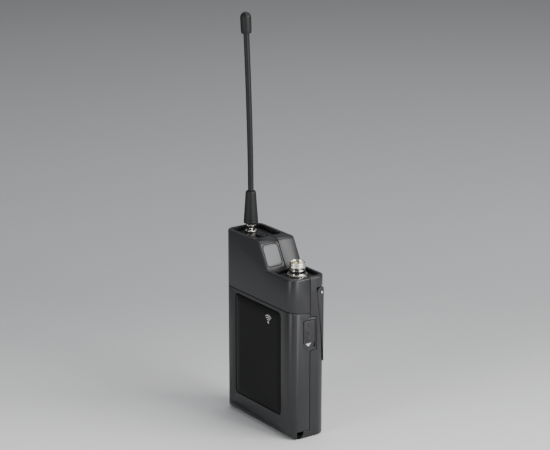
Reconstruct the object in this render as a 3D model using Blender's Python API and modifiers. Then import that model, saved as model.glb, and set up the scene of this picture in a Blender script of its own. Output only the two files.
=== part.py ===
"""Wireless bodypack transmitter: a pocket-size radio case with a flexible whip antenna.

Seen from the front, +X is to the right and the front face looks along -Y. The case stands on
z = 0 with its origin under the middle. The antenna rises from the tall left part, and the
input socket stands on the lower step at the right. The battery door is the lower front.
"""
import math

import bmesh
import bpy
from mathutils import Matrix, Vector

MM = 0.001

# Case
WIDTH = 65.0 * MM
DEPTH = 23.5 * MM
HEIGHT = 107.0 * MM
STEP_Z = 92.5 * MM
RAMP_TOP_X = 1.5 * MM
RAMP_FOOT_X = 9.4 * MM
RAMP_CREST = 3.0 * MM
FRONT_CORNER = 5.0 * MM
REAR_CORNER = 6.0 * MM
EDGE_ROUND = 0.8 * MM
WALL = 1.6 * MM
GAP = 0.3 * MM
PARTING_Y = 0.6 * MM
SEAM_FRONT_Z = 74.0 * MM
SEAM_FALL = 0.17

# Decks let into the top and into the step
TOP_POCKET_DEPTH = 2.5 * MM
TOP_POCKET_X = (-30.5 * MM, -6.0 * MM)
TOP_POCKET_HALF_Y = 9.3 * MM
STEP_POCKET_DEPTH = 2.0 * MM
STEP_POCKET_X = (12.0 * MM, 29.6 * MM)
STEP_POCKET_HALF_Y = 9.5 * MM
POCKET_CORNER = 2.5 * MM
DECK_THICKNESS = 1.4 * MM
DECK_LAP = 1.4 * MM
RAMP_PANEL_THICKNESS = 0.6 * MM
RAMP_PANEL_Y = (-10.3 * MM, -0.6 * MM)
RAMP_PANEL_REACH = (2.2 * MM, 14.5 * MM)
RAMP_PANEL_CORNER = 2.0 * MM

# Battery door, its hinge and its two latches
HINGE_OFFSET = 4.0 * MM
HINGE_Z = 4.2 * MM
HINGE_PIN = 0.9 * MM
HINGE_LUG = 4.0 * MM
HINGE_LUG_X = 19.0 * MM
DOOR_PANEL_HALF_X = 22.3 * MM
DOOR_PANEL_Z = (12.0 * MM, 72.0 * MM)
DOOR_PANEL_RECESS = 1.0 * MM
DOOR_PANEL_THICKNESS = 0.5 * MM
DOOR_PANEL_CORNER = 2.5 * MM
EAR_BOTTOM_Z = 50.6 * MM
EAR_TOP_Z = 70.0 * MM
EAR_SLOPE = 0.155
LATCH_FRONT_Y = -3.6 * MM
LATCH_REAR_RIM = 0.7 * MM
LATCH_Z = (55.4 * MM, 68.2 * MM)
LATCH_TRAVEL = 2.7 * MM
LATCH_PLATE = 0.6 * MM
LATCH_HEAD = 0.4 * MM
LATCH_DOT = 0.9 * MM
LATCH_DOT_RISE = 0.35 * MM
LATCH_DOT_PITCH = 4.15 * MM
LATCH_DOT_SHIFT = 0.35 * MM
LATCH_NECK = (1.6 * MM, 4.0 * MM)
LATCH_NECK_RISE = 2.0 * MM
LATCH_HEAD_LAP = 1.0 * MM
LATCH_HEAD_PLAY = 0.25 * MM
THUMB_NOTCH = 1.0 * MM

# Belt clip
CLIP_ROOT = 3.05 * MM
CLIP_PIVOT_Z = 82.8 * MM
CLIP_TAPER = math.radians(7.0)
CLIP_GAP = 0.4 * MM
CLIP_TIP_Z = 42.4 * MM
CLIP_SIDE_INSET = 0.5 * MM
CLIP_CORNER = 3.4 * MM
CLIP_PLATE = 1.6 * MM
CLIP_FLANGE = 1.8 * MM
CLIP_PIN = 0.75 * MM
CLIP_LUG = 4.0 * MM
CLIP_LUG_X = 13.0 * MM
CLIP_LUG_PLAY = 0.65 * MM
CLIP_SPRING_HALF = 8.0 * MM
SPRING_WIRE = 0.3 * MM

# Top controls and antenna
ANTENNA_X = -25.0 * MM
ANTENNA_Y = 1.0 * MM
SOCKET_FLANGE = 3.4 * MM
SOCKET_FLANGE_HEIGHT = 0.9 * MM
SOCKET_BODY = 2.6 * MM
SOCKET_LENGTH = 6.8 * MM
STUD = 1.4 * MM
SEAL_RING = 2.0 * MM
SEAL_WIRE = 0.35 * MM
FERRULE = 2.2 * MM
FERRULE_HEIGHT = 2.6 * MM
FERRULE_RING = 2.9 * MM
FERRULE_RING_HEIGHT = 1.1 * MM
BOOT_FOOT = 4.15 * MM
BOOT_TOP = 2.9 * MM
BOOT_LENGTH = 18.5 * MM
WHIP = 1.6 * MM
WHIP_VISIBLE = 89.0 * MM
WHIP_LEAN = 2.1 * MM
WHIP_LEAN_TURN = math.radians(235.0)
CAP = 3.0 * MM
CAP_LENGTH = 11.8 * MM
BUTTON_X = -15.0 * MM
BUTTON_Y = 1.5 * MM
BUTTON = 3.25 * MM
BUTTON_RISE = 1.2 * MM
BUTTON_TRAVEL = 0.8 * MM
LENS_X = -9.0 * MM
LENS_Y = 3.0 * MM
LENS_LENGTH = 5.0 * MM
LENS_WIDTH = 2.0 * MM

# Input connector on the step
CONNECTOR_X = 19.0 * MM
CONNECTOR_Y = 1.5 * MM
CONNECTOR = 4.45 * MM
CONNECTOR_WALL = 0.75 * MM
CONNECTOR_RISE = 7.6 * MM
CONNECTOR_NUT = 5.7 * MM
CONNECTOR_NUT_HEIGHT = 0.9 * MM
CONNECTOR_PIN = 0.45 * MM
CONNECTOR_PIN_RING = 1.9 * MM
CONNECTOR_PINS = 4
CONNECTOR_PIN_DEPTH = 2.0 * MM

# Battery bay and control bay behind the door
CELL = 7.25 * MM
CELL_LENGTH = 50.5 * MM
CELL_NUB = 2.75 * MM
CELL_NUB_HEIGHT = 1.0 * MM
CELL_SPRING_HEIGHT = 1.8 * MM
CONTACT_THICKNESS = 0.3 * MM
TRAY_WALL = 0.8 * MM
TRAY_FLOOR_Z = 6.9 * MM
TRAY_END = 1.0 * MM
TRAY_SETBACK = 1.9 * MM
PANEL_Y = -4.0 * MM
DIAL_X = 11.0 * MM
DIAL_Z = 50.0 * MM
DIAL = 4.5 * MM
TRIM_X = 23.0 * MM
TRIM = 1.8 * MM
TRIM_ZS = {"mic": 54.0 * MM, "line": 42.0 * MM}
CHANNEL_SWITCH = (5.0 * MM, 5.0 * MM)
TRIM_BODY = (3.0 * MM, 4.0 * MM)
DIAL_HEIGHT = 2.6 * MM
DRIVER_X = 11.0 * MM
DRIVER_Z = (12.0 * MM, 38.0 * MM)
DRIVER = 1.9 * MM
DRIVER_BLADE = 0.7 * MM
DRIVER_GRIP = 12.0 * MM

# Boards, screws and charging contacts
BOARD_THICKNESS = 1.2 * MM
BOARD_Y = -4.6 * MM
BOARD_BOTTOM_Z = 65.5 * MM
SHIELD_WALL = 0.4 * MM
SCREW = 1.05 * MM
SCREW_HEAD = 2.2 * MM
SCREW_HEAD_HEIGHT = 0.9 * MM
SCREW_POST = 2.6 * MM
SCREW_PAD = 3.4 * MM
SCREW_BOSS = 2.4 * MM
UPPER_SCREW_X = 20.0 * MM
UPPER_SCREW_Z = 77.5 * MM
LOWER_SCREW_X = 25.0 * MM
LOWER_SCREW_Z = 30.0 * MM
CONTACT_PAD = (2.5 * MM, 1.5 * MM)
CONTACT_PAD_X = 7.0 * MM
CONTACT_PAD_Y = 4.0 * MM

# Worked out from the sizes above
FRONT_Y = -DEPTH / 2
REAR_Y = DEPTH / 2
SIDE_X = WIDTH / 2
INNER_X = SIDE_X - WALL
HINGE_Y = FRONT_Y + HINGE_OFFSET
HINGE_ROUND = HINGE_OFFSET - 0.05 * MM
HINGE_EYE = HINGE_OFFSET - WALL - GAP
TOP_FLOOR_Z = HEIGHT - TOP_POCKET_DEPTH
STEP_FLOOR_Z = STEP_Z - STEP_POCKET_DEPTH
CLIP_PIVOT_Y = REAR_Y - CLIP_ROOT
CLIP_HALF_X = SIDE_X - CLIP_SIDE_INSET
RAMP_RUN = RAMP_FOOT_X - RAMP_TOP_X
RAMP_RISE = HEIGHT - STEP_Z
RAMP_LENGTH = math.hypot(RAMP_RUN, RAMP_RISE)
FAR = 0.1


# ---- Making and placing pieces ----

def start_scene():
    """Empty the scene and give the two collections that the model uses."""
    for obj in list(bpy.data.objects):
        bpy.data.objects.remove(obj, do_unlink=True)
    groups = []
    for name in ("bodypack_transmitter", "cutters"):
        group = bpy.data.collections.new(name)
        bpy.context.scene.collection.children.link(group)
        groups.append(group)
    return groups


PARTS, CUTTERS = start_scene()


def finish_material(name, colour, roughness, metallic=0.0):
    """A Principled material of one colour."""
    material = bpy.data.materials.new(name)
    material.use_nodes = True
    shader = material.node_tree.nodes["Principled BSDF"]
    shader.inputs["Base Color"].default_value = (*colour, 1.0)
    shader.inputs["Roughness"].default_value = roughness
    shader.inputs["Metallic"].default_value = metallic
    return material


BLACK_SHELL = finish_material("black_shell", (0.018, 0.018, 0.020), 0.38)
GLOSS_BLACK = finish_material("gloss_black", (0.006, 0.006, 0.008), 0.08)
GREY_PANEL = finish_material("grey_panel", (0.23, 0.23, 0.24), 0.42)
SOFT_BLACK = finish_material("soft_black", (0.012, 0.012, 0.013), 0.70)
NICKEL = finish_material("nickel", (0.75, 0.73, 0.68), 0.18, 1.0)
STEEL = finish_material("steel", (0.55, 0.55, 0.56), 0.32, 1.0)
GOLD = finish_material("gold_contact", (0.83, 0.62, 0.26), 0.25, 1.0)
BOARD = finish_material("board_green", (0.02, 0.12, 0.05), 0.45)
CELL_JACKET = finish_material("cell_jacket", (0.10, 0.22, 0.38), 0.30)
LENS = finish_material("dark_lens", (0.03, 0.015, 0.015), 0.05)
IVORY = finish_material("ivory_plastic", (0.70, 0.66, 0.56), 0.50)


def mesh_object(name, mesh, group):
    obj = bpy.data.objects.new(name, mesh)
    group.objects.link(obj)
    if group is CUTTERS:
        obj.hide_render = True
        obj.display_type = 'WIRE'
    return obj


def from_bmesh(name, bm, group=None):
    bmesh.ops.recalc_face_normals(bm, faces=bm.faces)
    mesh = bpy.data.meshes.new(name)
    bm.to_mesh(mesh)
    bm.free()
    return mesh_object(name, mesh, group or CUTTERS)


def box(name, low, high, group=None):
    """A box between its lowest and highest corners."""
    size = [b - a for a, b in zip(low, high)]
    centre = [(a + b) / 2 for a, b in zip(low, high)]
    place = Matrix.Translation(centre) @ Matrix.Diagonal((*size, 1.0))
    bm = bmesh.new()
    bmesh.ops.create_cube(bm, size=1.0, matrix=place)
    return from_bmesh(name, bm, group)


TURNS = {
    "X": Matrix.Rotation(math.pi / 2, 4, 'Y'),
    "Y": Matrix.Rotation(-math.pi / 2, 4, 'X'),
    "Z": Matrix.Identity(4),
}


def rod(name, radius, start, end, axis, across, sides=24, group=None):
    """A round bar from start to end along an axis; across gives its place on the other two."""
    middle = list(across)
    middle.insert("XYZ".index(axis), (start + end) / 2)
    place = Matrix.Translation(middle) @ TURNS[axis]
    bm = bmesh.new()
    bmesh.ops.create_cone(bm, cap_ends=True, segments=sides, radius1=radius, radius2=radius,
                          depth=end - start, matrix=place)
    return from_bmesh(name, bm, group)


# Columns say where an outline's two directions and its thickness point
PLANES = {
    "XY": Matrix(((1, 0, 0, 0), (0, 1, 0, 0), (0, 0, 1, 0), (0, 0, 0, 1))),
    "XZ": Matrix(((1, 0, 0, 0), (0, 0, -1, 0), (0, 1, 0, 0), (0, 0, 0, 1))),
    "YZ": Matrix(((0, 0, 1, 0), (1, 0, 0, 0), (0, 1, 0, 0), (0, 0, 0, 1))),
}


def prism(name, plane, points, start, end, group=None):
    """A flat outline in one plane, filled and carried from start to end across that plane."""
    curve = bpy.data.curves.new(name, 'CURVE')
    curve.dimensions = '2D'
    curve.fill_mode = 'BOTH'
    curve.extrude = (end - start) / 2
    spline = curve.splines.new('POLY')
    spline.points.add(len(points) - 1)
    for point, (u, v) in zip(spline.points, points):
        point.co = (u, v, 0.0, 1.0)
    spline.use_cyclic_u = True
    holder = bpy.data.objects.new(name, curve)
    bpy.context.scene.collection.objects.link(holder)
    bpy.context.view_layer.update()
    graph = bpy.context.evaluated_depsgraph_get()
    mesh = bpy.data.meshes.new_from_object(holder.evaluated_get(graph))
    bpy.data.objects.remove(holder, do_unlink=True)
    middle = (start + end) / 2
    if plane == "XZ":
        middle = -middle
    bm = bmesh.new()
    bm.from_mesh(mesh)
    bpy.data.meshes.remove(mesh)
    bmesh.ops.remove_doubles(bm, verts=bm.verts, dist=0.001 * MM)
    place = PLANES[plane] @ Matrix.Translation((0, 0, middle))
    bmesh.ops.transform(bm, matrix=place, verts=bm.verts)
    bmesh.ops.dissolve_limit(bm, angle_limit=math.radians(0.5), verts=bm.verts, edges=bm.edges)
    return from_bmesh(name, bm, group)


def arc(centre, radius, first, last, steps=8):
    """Points on an arc, from the first to the last angle in degrees."""
    turns = [math.radians(first + (last - first) * i / steps) for i in range(steps + 1)]
    return [(centre[0] + radius * math.cos(a), centre[1] + radius * math.sin(a)) for a in turns]


def rounded_rectangle(low, high, radius, steps=4):
    """Outline of a rectangle with round corners, anticlockwise from the upper right."""
    (x0, y0), (x1, y1) = low, high
    points = []
    for x, y, first in ((x1, y1, 0), (x0, y1, 90), (x0, y0, 180), (x1, y0, 270)):
        cx = x - radius if x == x1 else x + radius
        cy = y - radius if y == y1 else y + radius
        points += arc((cx, cy), radius, first, first + 90, steps)
    return points


def turned(name, profile, centre, axis="Z", sides=24, group=None):
    """A turned piece. The profile lists (radius, height) pairs, down the outside, top first."""
    mesh = bpy.data.meshes.new(name)
    loop = list(profile)
    on_axis = loop[0][0] == 0 and loop[-1][0] == 0
    edges = [(i, i + 1) for i in range(len(loop) - 1)]
    if not on_axis:
        edges.append((len(loop) - 1, 0))
    mesh.from_pydata([(r, 0.0, z) for r, z in loop], edges, [])
    obj = mesh_object(name, mesh, group or CUTTERS)
    obj.matrix_world = Matrix.Translation(centre) @ TURNS[axis]
    screw = obj.modifiers.new("turn", 'SCREW')
    screw.steps = sides
    screw.render_steps = sides
    screw.use_merge_vertices = True
    screw.merge_threshold = 0.001 * MM
    return obj


def tube(name, points, radius, group, resolution=2):
    """A wire or flexible rod of one thickness through the points, with closed ends."""
    curve = bpy.data.curves.new(name, 'CURVE')
    curve.dimensions = '3D'
    curve.bevel_depth = radius
    curve.bevel_resolution = resolution
    curve.use_fill_caps = True
    spline = curve.splines.new('POLY')
    spline.points.add(len(points) - 1)
    for point, place in zip(spline.points, points):
        point.co = (*place, 1.0)
    obj = bpy.data.objects.new(name, curve)
    group.objects.link(obj)
    return obj


def boolean(target, tool, operation):
    modifier = target.modifiers.new(tool.name, 'BOOLEAN')
    modifier.operation = operation
    modifier.solver = 'EXACT'
    modifier.object = tool
    return target


def cut(target, *tools):
    for tool in tools:
        boolean(target, tool, 'DIFFERENCE')
    return target


def add(target, *tools):
    for tool in tools:
        boolean(target, tool, 'UNION')
    return target


def keep(target, tool):
    return boolean(target, tool, 'INTERSECT')


def part(obj, material, axis=None):
    """Put a finished piece in the model, with its material and the axis that it moves on."""
    if obj.name not in PARTS.objects:
        CUTTERS.objects.unlink(obj)
        PARTS.objects.link(obj)
        obj.hide_render = False
        obj.display_type = 'TEXTURED'
    obj.data.materials.clear()
    obj.data.materials.append(material)
    if obj.type == 'MESH':
        obj.data.shade_smooth()
        obj.data.set_sharp_from_angle(angle=math.radians(35))
    if axis is not None:
        obj.parent = axis
        obj.matrix_parent_inverse = Matrix.Translation(-axis.location)
    return obj


def axis_at(name, place):
    """An empty on a joint's axis, which the pieces that move on it hang from."""
    empty = bpy.data.objects.new(name, None)
    empty.location = place
    empty.empty_display_size = 5.0 * MM
    PARTS.objects.link(empty)
    return empty


def mirrored(value, side):
    """A low and high pair on the right, turned over to the left where side is -1."""
    low, high = value
    return (low, high) if side > 0 else (-high, -low)


# ---- Case: one stepped block, hollowed and divided into three shells ----

def ramp_x(z, inset=0.0):
    """X of the ramp at a height, moved in at right angles to the ramp."""
    return RAMP_FOOT_X - (z - STEP_Z) * RAMP_RUN / RAMP_RISE - inset * RAMP_LENGTH / RAMP_RISE


def ramp_crest(radius):
    """The round between the top and the ramp, as points from the ramp up to the top."""
    slope = math.degrees(math.atan2(RAMP_RISE, RAMP_RUN))
    centre_x = RAMP_TOP_X - radius * math.tan(math.radians(slope / 2))
    return arc((centre_x, HEIGHT - radius), radius, 90 - slope, 90, 6)


def stepped_block(name, inset, floor, step_top, top, edge_round=0.0):
    """The case's outline carried through its depth, with its upright corners rounded."""
    left, right = -SIDE_X + inset, SIDE_X - inset
    outline = [(left, floor), (right, floor), (right, step_top), (ramp_x(step_top, inset), step_top)]
    if edge_round > 0:
        outline += ramp_crest(RAMP_CREST)
    else:
        outline.append((ramp_x(top, inset), top))
    outline.append((left, top))
    obj = prism(name, "XZ", outline, FRONT_Y + inset, REAR_Y - inset)
    bm = bmesh.new()
    bm.from_mesh(obj.data)
    for face_y, radius in ((FRONT_Y + inset, FRONT_CORNER), (REAR_Y - inset, REAR_CORNER)):
        upright = []
        for edge in bm.edges:
            a, b = (v.co for v in edge.verts)
            at_side = abs(abs(a.x) - right) < 0.01 * MM and abs(a.x - b.x) < 0.01 * MM
            at_face = abs(a.y - face_y) < 0.01 * MM and abs(b.y - face_y) < 0.01 * MM
            if at_side and at_face:
                upright.append(edge)
        bmesh.ops.bevel(bm, geom=upright, offset=radius - inset, offset_type='OFFSET', segments=7,
                        profile=0.5, affect='EDGES')
    if edge_round > 0:
        sharp = [e for e in bm.edges if e.calc_face_angle(0.0) > math.radians(30)]
        bmesh.ops.bevel(bm, geom=sharp, offset=edge_round, offset_type='OFFSET', segments=2,
                        profile=0.5, affect='EDGES')
    bm.to_mesh(obj.data)
    bm.free()
    return obj


def clip_plane_y(z, distance):
    """Y, at a height, of the plane beside the clip's pivot that leans back with the clip."""
    touch_y = CLIP_PIVOT_Y - distance * math.cos(CLIP_TAPER)
    touch_z = CLIP_PIVOT_Z - distance * math.sin(CLIP_TAPER)
    return touch_y + (touch_z - z) * math.tan(CLIP_TAPER)


# The ears end short of the wall in front of the clip, and the latches end short of the ears
EAR_REACH_Y = clip_plane_y(EAR_TOP_Z, CLIP_ROOT + CLIP_GAP + WALL) - GAP
LATCH_Y = (LATCH_FRONT_Y, EAR_REACH_Y - LATCH_REAR_RIM - GAP)


def clip_bay(name, grow):
    """The space that the clip lies in, grown by a wall for the inside of the rear shell."""
    distance = CLIP_ROOT + CLIP_GAP + grow
    low = CLIP_TIP_Z - CLIP_GAP - grow
    high = CLIP_PIVOT_Z + CLIP_ROOT + CLIP_GAP + grow
    outline = [(clip_plane_y(low, distance), low), (FAR, low), (FAR, high),
               (clip_plane_y(high, distance), high)]
    return prism(name, "YZ", outline, -FAR, FAR)


def seam_z(y):
    """Height of the seam over the door, which falls towards the back."""
    return SEAM_FRONT_Z - (y - FRONT_Y) * SEAM_FALL


def door_region():
    """What belongs to the door, seen from the side: its front, its ears and its rolled foot."""
    edge = PARTING_Y - GAP / 2
    low = HINGE_Z + GAP / 2
    ear_fall = (EAR_REACH_Y - edge) * EAR_SLOPE
    outline = [(-FAR, seam_z(-FAR)), (edge, seam_z(edge)), (edge, EAR_TOP_Z),
               (EAR_REACH_Y, EAR_TOP_Z - ear_fall), (EAR_REACH_Y, EAR_BOTTOM_Z + ear_fall),
               (edge, EAR_BOTTOM_Z), (edge, low), (HINGE_Y, low)]
    outline += arc((HINGE_Y, HINGE_Z), HINGE_ROUND, 270, 180, 7)
    outline.append((-FAR, HINGE_Z))
    return prism("door_region", "YZ", outline, -FAR, FAR)


def rear_region():
    """What belongs to the rear shell: all behind the parting line, and the cheeks by the hinge."""
    edge = PARTING_Y + GAP / 2
    ear_fall = (EAR_REACH_Y - edge) * EAR_SLOPE
    reach = EAR_REACH_Y + GAP
    round_space = HINGE_OFFSET + GAP
    start = math.degrees(math.asin(-GAP / 2 / round_space))
    outline = [(FAR, -FAR), (FAR, FAR + HEIGHT), (edge, FAR + HEIGHT), (edge, EAR_TOP_Z + GAP),
               (reach, EAR_TOP_Z - ear_fall + GAP), (reach, EAR_BOTTOM_Z + ear_fall - GAP),
               (edge, EAR_BOTTOM_Z - GAP), (edge, HINGE_Z - GAP / 2)]
    outline += arc((HINGE_Y, HINGE_Z), round_space, start, -90, 9)
    outline.append((HINGE_Y, -FAR))
    return prism("rear_region", "YZ", outline, -FAR, FAR)


def front_region():
    """What belongs to the front shell: all before the parting line and above the seam."""
    edge = PARTING_Y - GAP / 2
    outline = [(-FAR, seam_z(-FAR) + GAP), (edge, seam_z(edge) + GAP), (edge, FAR + HEIGHT),
               (-FAR, FAR + HEIGHT)]
    return prism("front_region", "YZ", outline, -FAR, FAR)


TOP_OPENING = prism("top_opening", "XY", rounded_rectangle(
    (TOP_POCKET_X[0], -TOP_POCKET_HALF_Y), (TOP_POCKET_X[1], TOP_POCKET_HALF_Y), POCKET_CORNER),
    TOP_FLOOR_Z - DECK_THICKNESS, HEIGHT + FAR)
STEP_OPENING = prism("step_opening", "XY", rounded_rectangle(
    (STEP_POCKET_X[0], -STEP_POCKET_HALF_Y), (STEP_POCKET_X[1], STEP_POCKET_HALF_Y), POCKET_CORNER),
    STEP_FLOOR_Z - DECK_THICKNESS, STEP_Z + FAR)
CAVITY = stepped_block("cavity", WALL, WALL, STEP_FLOOR_Z + GAP, TOP_FLOOR_Z + GAP)
cut(CAVITY, clip_bay("clip_bay_wall", WALL))
CLIP_BAY = clip_bay("clip_bay", 0.0)


def shell(name, region):
    """One shell: the rounded block less its cavity, its openings and all that is not its own."""
    obj = stepped_block(name, 0.0, 0.0, STEP_Z, HEIGHT, EDGE_ROUND)
    cut(obj, CLIP_BAY, CAVITY)
    return keep(obj, region)


def ramp_outline(grow):
    """Outline of the ramp's panel, measured down the ramp and across it."""
    return rounded_rectangle((RAMP_PANEL_REACH[0] - grow, RAMP_PANEL_Y[0] - grow),
                             (RAMP_PANEL_REACH[1] + grow, RAMP_PANEL_Y[1] + grow), RAMP_PANEL_CORNER + grow)


def on_ramp(obj, lift):
    """Lay a flat piece on the ramp, with its own X down the slope and Z out of it."""
    down = Vector((RAMP_RUN, 0.0, -RAMP_RISE)).normalized()
    across = Vector((0.0, 1.0, 0.0))
    out = down.cross(across)
    if out.x < 0:
        out.negate()
    turn = Matrix((down, across, out)).transposed().to_4x4()
    obj.data.transform(Matrix.Translation(Vector((RAMP_TOP_X, 0.0, HEIGHT)) + out * lift) @ turn)
    if turn.determinant() < 0:
        obj.data.flip_normals()
    return obj


def screw_places():
    """Each case screw: its number, its place, the back of its head and the end of its shank."""
    upper_seat = clip_plane_y(UPPER_SCREW_Z, CLIP_ROOT + CLIP_GAP) - 1.5 * MM
    lower_seat = REAR_Y - SCREW_HEAD_HEIGHT - 0.45 * MM
    places = []
    for side in (-1, 1):
        places.append((side * UPPER_SCREW_X, UPPER_SCREW_Z, upper_seat, -4.0 * MM))
        places.append((side * LOWER_SCREW_X, LOWER_SCREW_Z, lower_seat, 6.5 * MM))
    return [(number, *place) for number, place in enumerate(places, 1)]


def make_front_shell():
    """Upper front shell with its half of the top, the ramp and the step, and two screw posts."""
    obj = shell("front_shell", front_region())
    cut(obj, TOP_OPENING, STEP_OPENING)
    seat = prism("ramp_seat", "XY", ramp_outline(GAP), 0, 5 * MM)
    cut(obj, on_ramp(seat, -RAMP_PANEL_THICKNESS - GAP))
    for number, x, z, seat_y, _ in screw_places():
        if z == UPPER_SCREW_Z:
            post_end = seat_y - 2.0 * MM
            add(obj, rod(f"post_{number}", SCREW_POST, FRONT_Y + WALL / 2, post_end, "Y", (x, z), 16))
            cut(obj, rod(f"post_bore_{number}", SCREW + GAP, -5.0 * MM, FAR, "Y", (x, z), 12))
    return part(obj, BLACK_SHELL)


def make_rear_shell():
    """Rear shell with the base, the clip's lugs, the door's hinge brackets and screw seats."""
    obj = shell("rear_shell", rear_region())
    cut(obj, TOP_OPENING, STEP_OPENING)
    for side in (-1, 1):
        name = "left" if side < 0 else "right"
        low, high = mirrored((HINGE_LUG_X, HINGE_LUG_X + HINGE_LUG), side)
        foot_y = HINGE_Y + HINGE_OFFSET + 3 * GAP
        bar_top = HINGE_Z + HINGE_EYE
        bracket = arc((HINGE_Y, HINGE_Z), HINGE_EYE, 90, 369, 13)
        bracket += [(foot_y, HINGE_Z + GAP), (foot_y, WALL / 2), (foot_y + 2.5 * MM, WALL / 2),
                    (foot_y + 2.5 * MM, bar_top)]
        add(obj, prism(f"bracket_{name}", "YZ", bracket, low, high))
        cut(obj, rod(f"bracket_bore_{name}", HINGE_PIN + GAP, low - MM, high + MM, "X",
                     (HINGE_Y, HINGE_Z), 16))
        low, high = mirrored((CLIP_LUG_X, CLIP_LUG_X + CLIP_LUG), side)
        lug_round = CLIP_ROOT - CLIP_LUG_PLAY
        lug = arc((CLIP_PIVOT_Y, CLIP_PIVOT_Z), lug_round, -90, 90, 8)
        wall_y = clip_plane_y(CLIP_PIVOT_Z, CLIP_ROOT + CLIP_GAP) - WALL / 2
        lug += [(wall_y, CLIP_PIVOT_Z + lug_round), (wall_y, CLIP_PIVOT_Z - lug_round)]
        add(obj, prism(f"clip_lug_{name}", "YZ", lug, low, high))
        pad_x = side * CONTACT_PAD_X
        cut(obj, box(f"contact_seat_{name}",
                     (pad_x - CONTACT_PAD[0] - GAP, CONTACT_PAD_Y - CONTACT_PAD[1] - GAP, -MM),
                     (pad_x + CONTACT_PAD[0] + GAP, CONTACT_PAD_Y + CONTACT_PAD[1] + GAP, 1.0 * MM)))
    cut(obj, rod("clip_pin_bore", CLIP_PIN + GAP, -CLIP_HALF_X, CLIP_HALF_X, "X",
                 (CLIP_PIVOT_Y, CLIP_PIVOT_Z), 16))
    for number, x, z, seat_y, _ in screw_places():
        bottom = seat_y - GAP
        add(obj, rod(f"screw_pad_{number}", SCREW_PAD, bottom - 1.0 * MM, bottom + 0.8 * MM, "Y", (x, z), 20))
        cut(obj, rod(f"screw_seat_{number}", SCREW_HEAD + GAP, bottom, FAR, "Y", (x, z), 20))
        cut(obj, rod(f"screw_hole_{number}", SCREW + GAP, -FAR, FAR, "Y", (x, z), 12))
    return part(obj, BLACK_SHELL)


def latch_face(side, low, high):
    """X range of something at a given depth inside the narrow side."""
    return mirrored((SIDE_X - high, SIDE_X - low), side)


def make_door():
    """Battery door: lower front with its side walls, ears, hinge eyes and the panel's recess."""
    obj = shell("battery_door", door_region())
    cut(obj, prism("panel_seat", "XZ", rounded_rectangle(
        (-DOOR_PANEL_HALF_X, DOOR_PANEL_Z[0]), (DOOR_PANEL_HALF_X, DOOR_PANEL_Z[1]), DOOR_PANEL_CORNER),
        -FAR, FRONT_Y + DOOR_PANEL_RECESS))
    plate_depth = LATCH_PLATE + GAP
    middle_y = (LATCH_Y[0] + LATCH_Y[1]) / 2
    for side in (-1, 1):
        name = "left" if side < 0 else "right"
        eye_start = HINGE_LUG_X + HINGE_LUG + GAP
        low, high = mirrored((eye_start, eye_start + HINGE_LUG), side)
        eye = arc((HINGE_Y, HINGE_Z), HINGE_EYE, -90, 90, 10)
        eye += [(FRONT_Y + WALL / 2, HINGE_Z + HINGE_EYE), (FRONT_Y + WALL / 2, HINGE_Z)]
        eye += arc((HINGE_Y, HINGE_Z), HINGE_ROUND - WALL / 2, 190, 260, 5)
        add(obj, prism(f"eye_{name}", "YZ", eye, low, high))
        cut(obj, rod(f"eye_bore_{name}", HINGE_PIN + GAP, low - MM, high + MM, "X",
                     (HINGE_Y, HINGE_Z), 16))
        low, high = latch_face(side, -MM, plate_depth)
        cut(obj, box(f"latch_track_{name}", (low, LATCH_Y[0] - GAP, LATCH_Z[0] - LATCH_TRAVEL - GAP),
                     (high, LATCH_Y[1] + GAP, LATCH_Z[1] + GAP)))
        low, high = latch_face(side, 0.0, 2 * WALL)
        slot_low = LATCH_Z[0] + LATCH_NECK_RISE
        slot_half = LATCH_NECK[0] / 2 + GAP
        cut(obj, box(f"latch_slot_{name}", (low, middle_y - slot_half, slot_low),
                     (high, middle_y + slot_half, slot_low + LATCH_TRAVEL + LATCH_NECK[1] + 2 * GAP)))
        cut(obj, rod(f"thumb_notch_{name}", THUMB_NOTCH, *latch_face(side, -MM, 0.8 * MM), "X",
                     (FRONT_Y + 2.2 * MM, seam_z(FRONT_Y + 2.2 * MM)), 12))
    return part(obj, BLACK_SHELL, DOOR_AXIS)


def make_door_panel():
    """Glossy panel let into the door."""
    inner = FRONT_Y + DOOR_PANEL_RECESS - GAP
    outline = rounded_rectangle((-DOOR_PANEL_HALF_X + GAP, DOOR_PANEL_Z[0] + GAP),
                                (DOOR_PANEL_HALF_X - GAP, DOOR_PANEL_Z[1] - GAP), DOOR_PANEL_CORNER - GAP)
    obj = prism("door_panel", "XZ", outline, inner - DOOR_PANEL_THICKNESS, inner)
    return part(obj, GLOSS_BLACK, DOOR_AXIS)


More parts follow.
